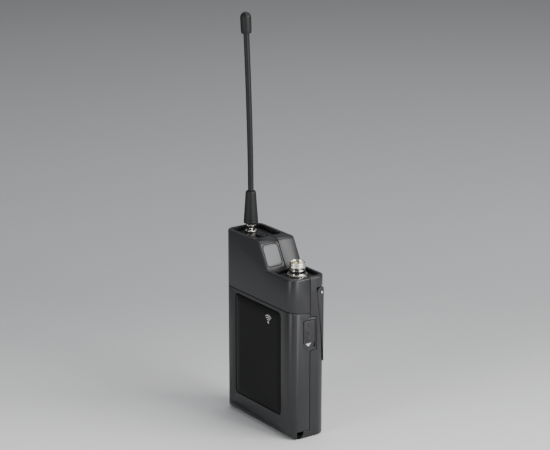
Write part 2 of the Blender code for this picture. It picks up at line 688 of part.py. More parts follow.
def make_latch(side):
    """Sliding latch: a plate with three raised dots, a neck through the ear and a head inside."""
    name = "latch_left" if side < 0 else "latch_right"
    outer, inner = latch_face(side, 0.0, LATCH_PLATE)
    obj = box(name, (outer, LATCH_Y[0], LATCH_Z[0]), (inner, LATCH_Y[1], LATCH_Z[1]))
    middle_y = (LATCH_Y[0] + LATCH_Y[1]) / 2
    neck_low = LATCH_Z[0] + LATCH_NECK_RISE + LATCH_TRAVEL + GAP
    neck_high = neck_low + LATCH_NECK[1]
    half = LATCH_NECK[0] / 2
    behind = WALL + LATCH_HEAD_PLAY
    head = latch_face(side, behind, behind + LATCH_HEAD)
    neck = latch_face(side, LATCH_PLATE / 2, behind + LATCH_HEAD / 2)
    add(obj, box(f"{name}_neck", (neck[0], middle_y - half, neck_low), (neck[1], middle_y + half, neck_high)))
    lap = LATCH_HEAD_LAP
    add(obj, box(f"{name}_head", (head[0], middle_y - half - lap, neck_low - lap),
                 (head[1], middle_y + half + lap, neck_high + lap)))
    middle_z = (LATCH_Z[0] + LATCH_Z[1]) / 2
    for step in (-1, 0, 1):
        rise = mirrored((SIDE_X - LATCH_PLATE / 2, SIDE_X + LATCH_DOT_RISE), side)
        add(obj, rod(f"{name}_dot_{step + 2}", LATCH_DOT, *rise, "X",
                     (middle_y - LATCH_DOT_SHIFT, middle_z + step * LATCH_DOT_PITCH), 12))
    return part(obj, SOFT_BLACK, DOOR_AXIS)


def make_ramp_panel():
    """Light panel let into the front half of the ramp."""
    obj = prism("ramp_panel", "XY", ramp_outline(0.0), 0, RAMP_PANEL_THICKNESS)
    return part(on_ramp(obj, -RAMP_PANEL_THICKNESS), GREY_PANEL)


def make_clip():
    """Belt clip: a leaning wedge with a round root, hollow inside, with bays for lugs and spring."""
    inner_low = clip_plane_y(CLIP_TIP_Z, CLIP_ROOT)
    outline = arc((CLIP_PIVOT_Y, CLIP_PIVOT_Z), CLIP_ROOT, 0, 180 + math.degrees(CLIP_TAPER), 16)
    outline += [(inner_low, CLIP_TIP_Z), (REAR_Y, CLIP_TIP_Z)]
    obj = prism("belt_clip", "YZ", outline, -CLIP_HALF_X, CLIP_HALF_X)
    keep(obj, prism("clip_round", "XY", rounded_rectangle(
        (-CLIP_HALF_X, -REAR_Y), (CLIP_HALF_X, REAR_Y), CLIP_CORNER, 6), 0.0, HEIGHT))
    half = CLIP_HALF_X - CLIP_FLANGE
    root_low = CLIP_PIVOT_Z - CLIP_ROOT - MM
    cut(obj, box("belt_space", (-half, -FAR, CLIP_TIP_Z - MM), (half, REAR_Y - CLIP_PLATE, root_low)))
    bays = [mirrored((CLIP_LUG_X - GAP, CLIP_LUG_X + CLIP_LUG + GAP), side) for side in (-1, 1)]
    bays.append((-CLIP_SPRING_HALF - 2 * GAP, CLIP_SPRING_HALF + 2 * GAP))
    for number, (low, high) in enumerate(bays, 1):
        bay = arc((CLIP_PIVOT_Y, CLIP_PIVOT_Z), CLIP_ROOT - CLIP_LUG_PLAY + GAP, -90, 90, 10)
        bay += [(CLIP_PIVOT_Y, CLIP_PIVOT_Z + 2 * CLIP_ROOT), (0.0, CLIP_PIVOT_Z + 2 * CLIP_ROOT),
                (0.0, root_low - MM), (CLIP_PIVOT_Y, root_low - MM)]
        cut(obj, prism(f"clip_bay_{number}", "YZ", bay, low, high))
    cut(obj, rod("clip_bore", CLIP_PIN + GAP, -FAR, FAR, "X", (CLIP_PIVOT_Y, CLIP_PIVOT_Z), 16))
    return part(obj, BLACK_SHELL, CLIP_AXIS)


def make_clip_pin_and_spring():
    """Steel pin through the clip's root, and the torsion spring wound round its middle."""
    pin = rod("clip_pin", CLIP_PIN, -CLIP_HALF_X - 0.2 * MM, CLIP_HALF_X + 0.2 * MM, "X",
              (CLIP_PIVOT_Y, CLIP_PIVOT_Z), 16, PARTS)
    part(pin, STEEL)
    radius = CLIP_PIN + GAP + SPRING_WIRE + 0.2 * MM
    turns, steps = 6, 10
    points = []
    for i in range(turns * steps + 1):
        angle = 2 * math.pi * i / steps
        x = -CLIP_SPRING_HALF + SPRING_WIRE + (2 * CLIP_SPRING_HALF - 2 * SPRING_WIRE) * i / (turns * steps)
        points.append((x, CLIP_PIVOT_Y + radius * math.cos(angle), CLIP_PIVOT_Z + radius * math.sin(angle)))
    part(tube("clip_spring", points, SPRING_WIRE, PARTS), STEEL)


def make_hinge_pins():
    for side, name in ((-1, "hinge_pin_left"), (1, "hinge_pin_right")):
        low, high = mirrored((HINGE_LUG_X - 0.5 * MM, HINGE_LUG_X + 2 * HINGE_LUG + GAP + 0.5 * MM), side)
        part(rod(name, HINGE_PIN, low, high, "X", (HINGE_Y, HINGE_Z), 12, PARTS), STEEL)


# ---- Top: deck, antenna, button and lens ----

def capsule(x, y, length, width, steps=6):
    """Outline of a slot with round ends, along X."""
    half = (length - width) / 2
    return arc((x + half, y), width / 2, -90, 90, steps) + arc((x - half, y), width / 2, 90, 270, steps)


def make_top_deck():
    low = (-INNER_X + GAP, FRONT_Y + WALL + GAP, TOP_FLOOR_Z - DECK_THICKNESS)
    high = (TOP_POCKET_X[1] + DECK_LAP, REAR_Y - WALL - GAP, TOP_FLOOR_Z)
    outline = rounded_rectangle(low[:2], high[:2], REAR_CORNER - WALL, 5)
    obj = prism("top_deck", "XY", outline, low[2], high[2])
    cut(obj, rod("socket_hole", SOCKET_BODY + GAP, 0, FAR + HEIGHT, "Z", (ANTENNA_X, ANTENNA_Y), 20))
    cut(obj, rod("button_hole", BUTTON + GAP, 0, FAR + HEIGHT, "Z", (BUTTON_X, BUTTON_Y), 24))
    cut(obj, prism("lens_hole", "XY", capsule(LENS_X, LENS_Y, LENS_LENGTH + 2 * GAP, LENS_WIDTH + 2 * GAP),
                   0, FAR + HEIGHT))
    return part(obj, SOFT_BLACK)


def make_connector_deck():
    low = (STEP_POCKET_X[0] - DECK_LAP, FRONT_Y + WALL + GAP, STEP_FLOOR_Z - DECK_THICKNESS)
    high = (INNER_X - GAP, REAR_Y - WALL - GAP, STEP_FLOOR_Z)
    outline = rounded_rectangle(low[:2], high[:2], REAR_CORNER - WALL, 5)
    obj = prism("connector_deck", "XY", outline, low[2], high[2])
    cut(obj, rod("connector_hole", CONNECTOR + GAP, 0, FAR + HEIGHT, "Z", (CONNECTOR_X, CONNECTOR_Y), 24))
    return part(obj, SOFT_BLACK)


def make_button_and_light():
    """Push button on its switch, and the lens over the light emitter, on a small board."""
    board_z = TOP_FLOOR_Z - DECK_THICKNESS - 6.1 * MM
    board_top = board_z + BOARD_THICKNESS
    board = box("switch_board", (ANTENNA_X + SOCKET_BODY + 2.5 * MM, -9.0 * MM, board_z),
                (TOP_POCKET_X[1] + 0.5 * MM, 9.0 * MM, board_top), PARTS)
    part(board, BOARD)
    flange_top = TOP_FLOOR_Z - DECK_THICKNESS - GAP
    flange_low = flange_top - 0.9 * MM
    top = TOP_FLOOR_Z + BUTTON_RISE
    profile = [(0, top), (BUTTON - 0.5 * MM, top), (BUTTON, top - 0.5 * MM), (BUTTON, flange_top),
               (BUTTON + 0.9 * MM, flange_top), (BUTTON + 0.9 * MM, flange_low), (0, flange_low)]
    part(turned("power_button", profile, (BUTTON_X, BUTTON_Y, 0.0), group=PARTS), SOFT_BLACK, BUTTON_AXIS)
    plunger_top = flange_low - BUTTON_TRAVEL - GAP
    base_top = plunger_top - 0.8 * MM
    switch = box("button_switch", (BUTTON_X - 3 * MM, BUTTON_Y - 3 * MM, board_top + GAP),
                 (BUTTON_X + 3 * MM, BUTTON_Y + 3 * MM, base_top))
    add(switch, rod("plunger", 1.7 * MM, base_top - 0.4 * MM, plunger_top, "Z", (BUTTON_X, BUTTON_Y), 12))
    part(switch, STEEL)
    lens = prism("led_lens", "XY", capsule(LENS_X, LENS_Y, LENS_LENGTH, LENS_WIDTH),
                 TOP_FLOOR_Z - DECK_THICKNESS, TOP_FLOOR_Z + 0.5 * MM)
    part(lens, LENS)
    emitter = box("led_emitter", (LENS_X - 1.6 * MM, LENS_Y - 0.8 * MM, board_top + GAP),
                  (LENS_X + 1.6 * MM, LENS_Y + 0.8 * MM, board_top + 1.2 * MM), PARTS)
    part(emitter, IVORY)


SOCKET_TOP_Z = TOP_FLOOR_Z + GAP + SOCKET_FLANGE_HEIGHT
FERRULE_Z = SOCKET_TOP_Z + 2 * GAP + 2 * SEAL_WIRE
BOOT_Z = FERRULE_Z + FERRULE_HEIGHT + GAP
WHIP_Z = BOOT_Z + BOOT_LENGTH
CAP_Z = WHIP_Z + WHIP_VISIBLE
CAP_BORE_DEPTH = 8.0 * MM
SPIGOT_HEIGHT = 3.0 * MM


def whip_offset(z):
    """Sideways bow of the whip, which grows from the top of the boot to the cap."""
    rise = max(0.0, z - WHIP_Z) / WHIP_VISIBLE
    return WHIP_LEAN * rise ** 1.6


def whip_point(z):
    reach = whip_offset(z)
    return Vector((ANTENNA_X + reach * math.cos(WHIP_LEAN_TURN),
                   ANTENNA_Y + reach * math.sin(WHIP_LEAN_TURN), z))


def make_antenna():
    """Socket in the deck, and above it seal, ferrule with its stud, boot, whip and cap."""
    place = (ANTENNA_X, ANTENNA_Y, 0.0)
    flange_low = TOP_FLOOR_Z + GAP
    bottom = flange_low - SOCKET_LENGTH
    profile = [(SOCKET_FLANGE, SOCKET_TOP_Z), (SOCKET_FLANGE, flange_low), (SOCKET_BODY, flange_low),
               (SOCKET_BODY, bottom), (STUD + GAP, bottom), (STUD + GAP, SOCKET_TOP_Z)]
    part(turned("antenna_socket", profile, place, group=PARTS), NICKEL)
    ring = arc((SEAL_RING, SOCKET_TOP_Z + GAP + SEAL_WIRE), SEAL_WIRE, 90, -225, 7)
    part(turned("antenna_seal", ring, place, sides=20, group=PARTS), SOFT_BLACK, LIFT_AXIS)
    top = BOOT_Z + SPIGOT_HEIGHT
    ferrule_top = FERRULE_Z + FERRULE_HEIGHT
    ring_low = ferrule_top - FERRULE_RING_HEIGHT
    stud_low = bottom + 0.5 * MM
    profile = [(0, top), (STUD, top), (STUD, ferrule_top), (FERRULE_RING, ferrule_top),
               (FERRULE_RING, ring_low), (FERRULE, ring_low), (FERRULE, FERRULE_Z), (STUD, FERRULE_Z),
               (STUD, stud_low), (0, stud_low)]
    part(turned("antenna_ferrule", profile, place, group=PARTS), NICKEL, ANTENNA_AXIS)
    bore = WHIP + GAP
    profile = [(BOOT_TOP - 0.5 * MM, WHIP_Z), (BOOT_TOP, WHIP_Z - 0.5 * MM), (BOOT_FOOT, BOOT_Z + 1.0 * MM),
               (BOOT_FOOT, BOOT_Z), (bore, BOOT_Z), (bore, WHIP_Z)]
    part(turned("antenna_boot", profile, place, group=PARTS), SOFT_BLACK, ANTENNA_AXIS)
    low, high = top + GAP, CAP_Z + CAP_BORE_DEPTH - GAP
    steps = 16
    points = [whip_point(low)]
    points += [whip_point(WHIP_Z + (high - WHIP_Z) * i / steps) for i in range(steps + 1)]
    part(tube("antenna_whip", points, WHIP, PARTS, 3), SOFT_BLACK, ANTENNA_AXIS)
    foot, end = whip_point(CAP_Z), whip_point(CAP_Z + CAP_LENGTH)
    lean = Vector((0, 0, 1)).rotation_difference(end - foot).to_matrix().to_4x4()
    dome = [(r, CAP_LENGTH - CAP + h) for h, r in arc((0, 0), CAP, 0, 90, 6)]
    dome[0] = (0, CAP_LENGTH)
    profile = dome + [(CAP, 0), (bore, 0), (bore, CAP_BORE_DEPTH), (0, CAP_BORE_DEPTH)]
    cap = turned("antenna_cap", profile, (0, 0, 0), group=PARTS)
    cap.matrix_world = Matrix.Translation(foot) @ lean
    part(cap, SOFT_BLACK, ANTENNA_AXIS)


# ---- Input connector ----

def make_connector():
    """Sleeve with a key slot, nut, insulator and pins, upright in the lower deck."""
    place = (CONNECTOR_X, CONNECTOR_Y, 0.0)
    top = STEP_FLOOR_Z + CONNECTOR_RISE
    bottom = CLIP_PIVOT_Z + CLIP_ROOT + CLIP_GAP + WALL + GAP
    inner = CONNECTOR - CONNECTOR_WALL
    profile = [(CONNECTOR, top), (CONNECTOR, bottom), (inner, bottom), (inner, top)]
    shell_piece = turned("connector_shell", profile, place)
    cut(shell_piece, box("key_slot", (CONNECTOR_X - 0.6 * MM, CONNECTOR_Y - 2 * CONNECTOR, top - 2.5 * MM),
                         (CONNECTOR_X + 0.6 * MM, CONNECTOR_Y - inner / 2, top + MM)))
    part(shell_piece, NICKEL)
    nut_low = STEP_FLOOR_Z + GAP
    nut_top = nut_low + CONNECTOR_NUT_HEIGHT
    profile = [(CONNECTOR_NUT - GAP, nut_top), (CONNECTOR_NUT, nut_top - GAP), (CONNECTOR_NUT, nut_low),
               (CONNECTOR + GAP, nut_low), (CONNECTOR + GAP, nut_top)]
    part(turned("connector_nut", profile, place, group=PARTS), NICKEL)
    insulator = rod("connector_insulator", inner - GAP, bottom, STEP_FLOOR_Z + 1.0 * MM, "Z",
                    place[:2], 24)
    for i in range(CONNECTOR_PINS):
        angle = math.radians(45 + 360 * i / CONNECTOR_PINS)
        across = (CONNECTOR_X + CONNECTOR_PIN_RING * math.cos(angle),
                  CONNECTOR_Y + CONNECTOR_PIN_RING * math.sin(angle))
        cut(insulator, rod(f"pin_hole_{i + 1}", CONNECTOR_PIN + GAP, 0, FAR + HEIGHT, "Z", across, 10))
        part(rod(f"connector_pin_{i + 1}", CONNECTOR_PIN, bottom, top - CONNECTOR_PIN_DEPTH, "Z", across, 8,
                 PARTS), GOLD)
    part(insulator, SOFT_BLACK)


# ---- Battery bay and control bay ----

BAY_FLOOR_Z = TRAY_FLOOR_Z + TRAY_END
PLATE_Z = BAY_FLOOR_Z + GAP
SPRING_Z = PLATE_Z + CONTACT_THICKNESS + GAP
LEFT_CELL_Z = SPRING_Z + CELL_SPRING_HEIGHT + GAP
TOP_PLATE_Z = LEFT_CELL_Z + CELL_LENGTH + GAP
BAY_TOP_Z = TOP_PLATE_Z + CONTACT_THICKNESS + GAP
RIGHT_CELL_Z = SPRING_Z
TRAY_HALF_X = INNER_X - LATCH_HEAD - 0.55 * MM
CELL_Y = FRONT_Y + WALL + GAP + CELL
LEFT_CELL_X = -TRAY_HALF_X + TRAY_WALL + GAP + CELL
RIGHT_CELL_X = LEFT_CELL_X + 2 * CELL + GAP
BAY_RIGHT_X = RIGHT_CELL_X + CELL + GAP
BAY_BACK_Y = CELL_Y + CELL + GAP
PANEL_THICKNESS = 1.0 * MM


def make_battery_tray():
    """Tray with a bay for two cells at the left and the control panel at the right. Its back keeps
    clear of the wall in front of the clip."""
    low = (-TRAY_HALF_X, FRONT_Y + WALL + TRAY_SETBACK, TRAY_FLOOR_Z)
    high = (TRAY_HALF_X, BAY_BACK_Y + 0.7 * MM, BAY_TOP_Z + TRAY_END)
    obj = box("battery_tray", low, high)
    cut(obj, clip_bay("clip_clearance", WALL + GAP))
    cut(obj, box("cell_bay", (-TRAY_HALF_X + TRAY_WALL, -FAR, BAY_FLOOR_Z),
                 (BAY_RIGHT_X, BAY_BACK_Y, BAY_TOP_Z)))
    side = BAY_RIGHT_X + TRAY_END
    cut(obj, box("control_bay", (side, -FAR, 0.0), (FAR, PANEL_Y, HEIGHT)))
    cut(obj, box("panel_back", (side, PANEL_Y + PANEL_THICKNESS, BAY_FLOOR_Z),
                 (TRAY_HALF_X - TRAY_WALL, FAR, BAY_TOP_Z)))
    cut(obj, rod("dial_hole", DIAL / 2 + GAP, -FAR, 0.0, "Y", (DIAL_X, DIAL_Z), 16))
    for name, z in TRIM_ZS.items():
        cut(obj, rod(f"{name}_hole", TRIM + GAP, -FAR, 0.0, "Y", (TRIM_X, z), 16))
    for number, x, z, seat_y, _ in screw_places():
        if z == LOWER_SCREW_Z:
            start = BAY_BACK_Y + 0.3 * MM if x < 0 else PANEL_Y + PANEL_THICKNESS / 2
            add(obj, rod(f"boss_{number}", SCREW_BOSS, start, seat_y - GAP - 1.0 * MM - GAP, "Y", (x, z), 14))
            cut(obj, rod(f"boss_bore_{number}", SCREW + GAP, BAY_BACK_Y + 0.9 * MM, FAR, "Y", (x, z), 12))
    return part(obj, SOFT_BLACK)


def make_cells():
    """Two AA cells, the left one with its nub up and the right one with its nub down."""
    nub_z = CELL_LENGTH - CELL_NUB_HEIGHT
    profile = [(0, CELL_LENGTH), (CELL_NUB, CELL_LENGTH), (CELL_NUB, nub_z), (CELL, nub_z), (CELL, 0),
               (0, 0)]
    part(turned("battery_left", profile, (LEFT_CELL_X, CELL_Y, LEFT_CELL_Z), group=PARTS), CELL_JACKET)
    flipped = [(r, CELL_LENGTH - z) for r, z in reversed(profile)]
    part(turned("battery_right", flipped, (RIGHT_CELL_X, CELL_Y, RIGHT_CELL_Z), group=PARTS), CELL_JACKET)
    wide = 5.0 * MM
    plates = (("contact_bottom", LEFT_CELL_X, RIGHT_CELL_X, PLATE_Z),
              ("contact_top_left", LEFT_CELL_X, LEFT_CELL_X, TOP_PLATE_Z),
              ("contact_top_right", RIGHT_CELL_X, RIGHT_CELL_X, TOP_PLATE_Z))
    for name, first_x, last_x, z in plates:
        part(box(name, (first_x - wide, CELL_Y - wide, z),
                 (last_x + wide, CELL_Y + wide, z + CONTACT_THICKNESS), PARTS), NICKEL)
    top_spring_z = RIGHT_CELL_Z + CELL_LENGTH + GAP
    top_height = TOP_PLATE_Z - GAP - top_spring_z
    turns, steps = 2.5, 10
    wire = 0.25 * MM
    for name, x, z, height in (("spring_left", LEFT_CELL_X, SPRING_Z, CELL_SPRING_HEIGHT),
                               ("spring_right", RIGHT_CELL_X, top_spring_z, top_height)):
        points = []
        for i in range(int(turns * steps) + 1):
            share = i / (turns * steps)
            angle = 2 * math.pi * turns * share
            radius = (4.6 - 1.8 * share) * MM
            lift = wire + (height - 2 * wire) * share
            points.append((x + radius * math.cos(angle), CELL_Y + radius * math.sin(angle), z + lift))
        part(tube(name, points, wire, PARTS), STEEL)


def make_controls():
    """Channel switch and its dial, two level trims, and the screwdriver kept beside them."""
    back = PANEL_Y + PANEL_THICKNESS + GAP
    half, deep = CHANNEL_SWITCH
    part(box("channel_switch", (DIAL_X - half, back, DIAL_Z - half),
             (DIAL_X + half, back + deep, DIAL_Z + half), PARTS), SOFT_BLACK)
    stem = DIAL / 2
    face = PANEL_Y - DIAL_HEIGHT
    profile = [(0, back - GAP), (stem, back - GAP), (stem, PANEL_Y - GAP), (DIAL, PANEL_Y - GAP),
               (DIAL, face + 0.4 * MM), (DIAL - 0.4 * MM, face), (0, face)]
    dial = turned("channel_dial", profile, (DIAL_X, 0.0, DIAL_Z), "Y")
    cut(dial, box("dial_slot", (DIAL_X - 0.5 * MM, face - MM, DIAL_Z - 1.0 * MM),
                  (DIAL_X + 0.5 * MM, face + 0.9 * MM, DIAL_Z + 3.6 * MM)))
    part(dial, IVORY, DIAL_AXIS)
    half, deep = TRIM_BODY
    for name, z in TRIM_ZS.items():
        part(box(f"{name}_trim_body", (TRIM_X - half, back, z - half),
                 (TRIM_X + half, back + deep, z + half), PARTS), CELL_JACKET)
        face = PANEL_Y - 0.4 * MM
        trim = rod(f"{name}_trim_dial", TRIM, face, back - GAP, "Y", (TRIM_X, z), 20)
        cut(trim, box(f"{name}_slot", (TRIM_X - 0.3 * MM, face - MM, z - 1.3 * MM),
                      (TRIM_X + 0.3 * MM, face + 0.6 * MM, z + 1.3 * MM)))
        part(trim, IVORY, TRIM_AXES[name])
    grip_y = PANEL_Y - GAP - DRIVER
    grip_low = DRIVER_Z[1] - DRIVER_GRIP
    handle = rod("driver_handle", DRIVER, grip_low, DRIVER_Z[1], "Z", (DRIVER_X, grip_y), 12)
    bore = rod("blade_bore", DRIVER_BLADE + GAP, 0.0, grip_low + 5.0 * MM, "Z", (DRIVER_X, grip_y), 10)
    cut(handle, bore)
    part(handle, GREY_PANEL)
    blade = rod("driver_blade", DRIVER_BLADE, DRIVER_Z[0], grip_low + 4.5 * MM, "Z", (DRIVER_X, grip_y), 10,
                PARTS)
    part(blade, STEEL)


# ---- Boards, screws and contacts ----

def make_boards():
    """Main board behind the front shell, with the radio shield soldered on its front."""
    left, right = -INNER_X + MM, INNER_X - MM
    under_step = STEP_FLOOR_Z - DECK_THICKNESS - 1.6 * MM
    under_top = TOP_FLOOR_Z - 8.5 * MM
    outline = [(left, BOARD_BOTTOM_Z), (right, BOARD_BOTTOM_Z), (right, under_step),
               (RAMP_FOOT_X - 3.0 * MM, under_step), (RAMP_TOP_X - 3.0 * MM, under_top), (left, under_top)]
    board = prism("main_board", "XZ", outline, BOARD_Y, BOARD_Y + BOARD_THICKNESS)
    for number, x, z, _, _ in screw_places():
        if z == UPPER_SCREW_Z:
            cut(board, rod(f"board_hole_{number}", SCREW_POST + GAP, -FAR, FAR, "Y", (x, z), 16))
    part(board, BOARD)
    low = (-14.0 * MM, BOARD_Y - 4.5 * MM, 73.0 * MM)
    high = (6.0 * MM, BOARD_Y - GAP, 92.0 * MM)
    shield = box("rf_shield", low, high)
    inside_low = [a + SHIELD_WALL for a in low]
    cut(shield, box("shield_inside", inside_low, (high[0] - SHIELD_WALL, FAR, high[2] - SHIELD_WALL)))
    part(shield, STEEL)


def make_screws_and_contacts():
    for number, x, z, seat_y, tip_y in screw_places():
        screw = rod(f"case_screw_{number}", SCREW_HEAD, seat_y, seat_y + SCREW_HEAD_HEIGHT, "Y", (x, z), 18)
        add(screw, rod(f"shank_{number}", SCREW, tip_y, seat_y + SCREW_HEAD_HEIGHT / 2, "Y", (x, z), 10))
        for turn, (a, b) in enumerate(((1.3, 0.25), (0.25, 1.3)), 1):
            cut(screw, box(f"cross_{number}_{turn}", (x - a * MM, seat_y + 0.4 * MM, z - b * MM),
                           (x + a * MM, FAR, z + b * MM)))
        part(screw, STEEL)
    for side, name in ((-1, "charge_contact_left"), (1, "charge_contact_right")):
        x = side * CONTACT_PAD_X
        part(box(name, (x - CONTACT_PAD[0], CONTACT_PAD_Y - CONTACT_PAD[1], 0.2 * MM),
                 (x + CONTACT_PAD[0], CONTACT_PAD_Y + CONTACT_PAD[1], 0.7 * MM), PARTS), GOLD)


# ---- Joint axes, then the pieces in the order that they go together ----

DOOR_AXIS = axis_at("door_axis", (0.0, HINGE_Y, HINGE_Z))
CLIP_AXIS = axis_at("clip_axis", (0.0, CLIP_PIVOT_Y, CLIP_PIVOT_Z))
BUTTON_AXIS = axis_at("button_axis", (BUTTON_X, BUTTON_Y, TOP_FLOOR_Z))
DIAL_AXIS = axis_at("dial_axis", (DIAL_X, PANEL_Y, DIAL_Z))
TRIM_AXES = {name: axis_at(f"{name}_trim_axis", (TRIM_X, PANEL_Y, z)) for name, z in TRIM_ZS.items()}
LIFT_AXIS = axis_at("antenna_lift_axis", (ANTENNA_X, ANTENNA_Y, SOCKET_TOP_Z))
ANTENNA_AXIS = axis_at("antenna_axis", (ANTENNA_X, ANTENNA_Y, SOCKET_TOP_Z))

make_front_shell()
make_rear_shell()
make_ramp_panel()
make_top_deck()
make_connector_deck()
make_door()
make_door_panel()
make_latch(-1)
make_latch(1)
make_hinge_pins()
make_clip()
make_clip_pin_and_spring()
make_button_and_light()
make_antenna()
make_connector()
make_battery_tray()
make_cells()
make_controls()
make_boards()
make_screws_and_contacts()
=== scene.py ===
import math

import bmesh
import bpy
import numpy as np
from mathutils import Matrix, Vector


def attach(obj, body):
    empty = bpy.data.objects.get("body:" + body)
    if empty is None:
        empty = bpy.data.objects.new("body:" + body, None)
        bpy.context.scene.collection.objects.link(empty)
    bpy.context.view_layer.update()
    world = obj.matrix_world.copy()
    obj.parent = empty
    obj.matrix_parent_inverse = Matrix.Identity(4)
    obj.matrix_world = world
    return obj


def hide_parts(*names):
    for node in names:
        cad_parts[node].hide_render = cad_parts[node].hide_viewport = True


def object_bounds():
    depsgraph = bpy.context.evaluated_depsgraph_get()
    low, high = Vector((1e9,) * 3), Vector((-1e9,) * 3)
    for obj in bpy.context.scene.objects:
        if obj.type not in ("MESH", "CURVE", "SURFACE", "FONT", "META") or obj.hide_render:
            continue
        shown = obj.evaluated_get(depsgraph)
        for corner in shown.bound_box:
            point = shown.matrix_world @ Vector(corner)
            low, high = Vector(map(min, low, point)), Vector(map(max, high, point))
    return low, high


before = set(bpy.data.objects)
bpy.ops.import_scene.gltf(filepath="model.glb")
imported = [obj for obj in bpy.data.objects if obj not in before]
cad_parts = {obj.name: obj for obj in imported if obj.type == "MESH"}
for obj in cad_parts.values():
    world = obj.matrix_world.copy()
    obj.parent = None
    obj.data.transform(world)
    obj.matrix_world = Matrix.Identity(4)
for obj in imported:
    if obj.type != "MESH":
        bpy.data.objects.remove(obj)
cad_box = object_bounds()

# ---- Camera -------------------------------------------------------------------------------
# The pack stands upright and is seen over its right front corner, a little from above, with
# the narrow socket side towards the viewer. A long lens from about a metre keeps it upright.
MM = 0.001
VIEW_TURN = math.radians(55.0)
VIEW_RISE = math.radians(16.5)
VIEW_DISTANCE = 1.05
low_corner, high_corner = (np.array(corner) for corner in cad_box)
aim = (low_corner + high_corner) / 2
aim[:2] = 0.0
toward_camera = np.array([math.sin(VIEW_TURN) * math.cos(VIEW_RISE),
                          -math.cos(VIEW_TURN) * math.cos(VIEW_RISE),
                          math.sin(VIEW_RISE)])
camera = bpy.data.objects.new("camera", bpy.data.cameras.new("camera"))
camera.data.lens = 125.0
camera.data.clip_start = 0.01
camera.location = aim + toward_camera * VIEW_DISTANCE
camera.rotation_euler = (math.pi / 2 - VIEW_RISE, 0.0, VIEW_TURN)
bpy.context.scene.collection.objects.link(camera)
bpy.context.scene.camera = camera


# ---- Studio -------------------------------------------------------------------------------
# A paper floor with painted shade, mid grey behind the pack and pale towards the viewer, a wide
# soft light behind the pack at the right, a weaker one overhead, a broad low one for the front
# corner's highlight, and a fill at the side.
def soft_light(name, turn, rise, distance, size, power, tone):
    """A rectangular area light at a compass turn and rise in degrees, facing the pack's middle."""
    light = bpy.data.lights.new(name, 'AREA')
    light.shape = 'RECTANGLE'
    light.size, light.size_y = size
    light.energy = power
    light.color = tone
    lamp = bpy.data.objects.new(name, light)
    flat = math.cos(math.radians(rise)) * distance
    away = Vector((math.sin(math.radians(turn)) * flat, -math.cos(math.radians(turn)) * flat,
                   math.sin(math.radians(rise)) * distance))
    lamp.location = Vector(aim) + away
    lamp.rotation_euler = away.to_track_quat('Z', 'Y').to_euler()
    bpy.context.scene.collection.objects.link(lamp)


soft_light("back_right", 122.0, 30.0, 1.10, (0.75, 0.75), 15.0, (1.0, 0.99, 0.97))
soft_light("overhead", 200.0, 72.0, 1.30, (1.1, 0.9), 9.0, (1.0, 1.0, 1.0))
soft_light("corner_panel", 5.0, 12.0, 0.95, (0.30, 0.80), 5.0, (1.0, 1.0, 1.0))
soft_light("side_fill", 96.0, 16.0, 1.00, (0.45, 0.80), 7.5, (0.98, 0.99, 1.0))

world = bpy.data.worlds.new("studio")
world.use_nodes = True
world.node_tree.nodes["Background"].inputs["Color"].default_value = (0.82, 0.84, 0.87, 1.0)
world.node_tree.nodes["Background"].inputs["Strength"].default_value = 0.30
bpy.context.scene.world = world


def grid_mesh(name, points, wrap_u=False, wrap_v=False):
    """A mesh from a rows x columns grid of points. Wrapped directions join last to first."""
    rows, columns = points.shape[:2]
    index = np.arange(rows * columns).reshape(rows, columns)
    if wrap_u:
        index = np.concatenate([index, index[:1]], axis=0)
    if wrap_v:
        index = np.concatenate([index, index[:, :1]], axis=1)
    quads = np.stack([index[:-1, :-1], index[:-1, 1:], index[1:, 1:], index[1:, :-1]], axis=-1).reshape(-1, 4)
    mesh = bpy.data.meshes.new(name)
    mesh.from_pydata(points.reshape(-1, 3).tolist(), [], quads.tolist())
    return mesh


def new_piece(name, mesh, body=None, replaced=(), material=None, crease=30.0):
    """Put a finished mesh in the scene: welded, facing out, smooth shaded, riding on its body."""
    bm = bmesh.new()
    bm.from_mesh(mesh)
    bmesh.ops.remove_doubles(bm, verts=bm.verts, dist=2e-6)
    bmesh.ops.recalc_face_normals(bm, faces=bm.faces)
    bm.to_mesh(mesh)
    bm.free()
    mesh.shade_smooth()
    mesh.set_sharp_from_angle(angle=math.radians(crease))
    piece = bpy.data.objects.new(name, mesh)
    bpy.context.scene.collection.objects.link(piece)
    if material is not None:
        mesh.materials.append(material)
    if body is not None:
        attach(piece, body)
    if replaced:
        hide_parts(*replaced)
    return piece


class Tap:
    """One output in a shader tree. Arithmetic between taps and numbers adds Math nodes."""

    def __init__(self, tree, socket=None):
        self.tree = tree
        self.socket = socket

    def node(self, kind, settings=None, sockets=None, output=0):
        """Add a node: its settings first, then a value or a tap for each named socket."""
        new = self.tree.nodes.new(kind)
        for name, value in (settings or {}).items():
            setattr(new, name, value)
        for name, value in (sockets or {}).items():
            if isinstance(value, Tap):
                self.tree.links.new(value.socket, new.inputs[name])
            else:
                new.inputs[name].default_value = value
        return Tap(self.tree, new.outputs[output])

    def math(self, operation, *values):
        return self.node('ShaderNodeMath', {"operation": operation}, dict(enumerate(values)))

    def __add__(self, other):
        return self.math('ADD', self, other)

    __radd__ = __add__

    def __sub__(self, other):
        return self.math('SUBTRACT', self, other)

    def __rsub__(self, other):
        return self.math('SUBTRACT', other, self)

    def __mul__(self, other):
        return self.math('MULTIPLY', self, other)

    __rmul__ = __mul__

    def between(self, low, high):
        """0 below low and 1 above high, eased between them."""
        return self.node('ShaderNodeMapRange', {"interpolation_type": 'SMOOTHSTEP'},
                         {"Value": self, "From Min": low, "From Max": high})

    def place(self):
        """The three coordinates on the piece, in metres."""
        spot = self.node('ShaderNodeTexCoord', output="Object")
        return [self.node('ShaderNodeSeparateXYZ', sockets={0: spot}, output=axis) for axis in range(3)]


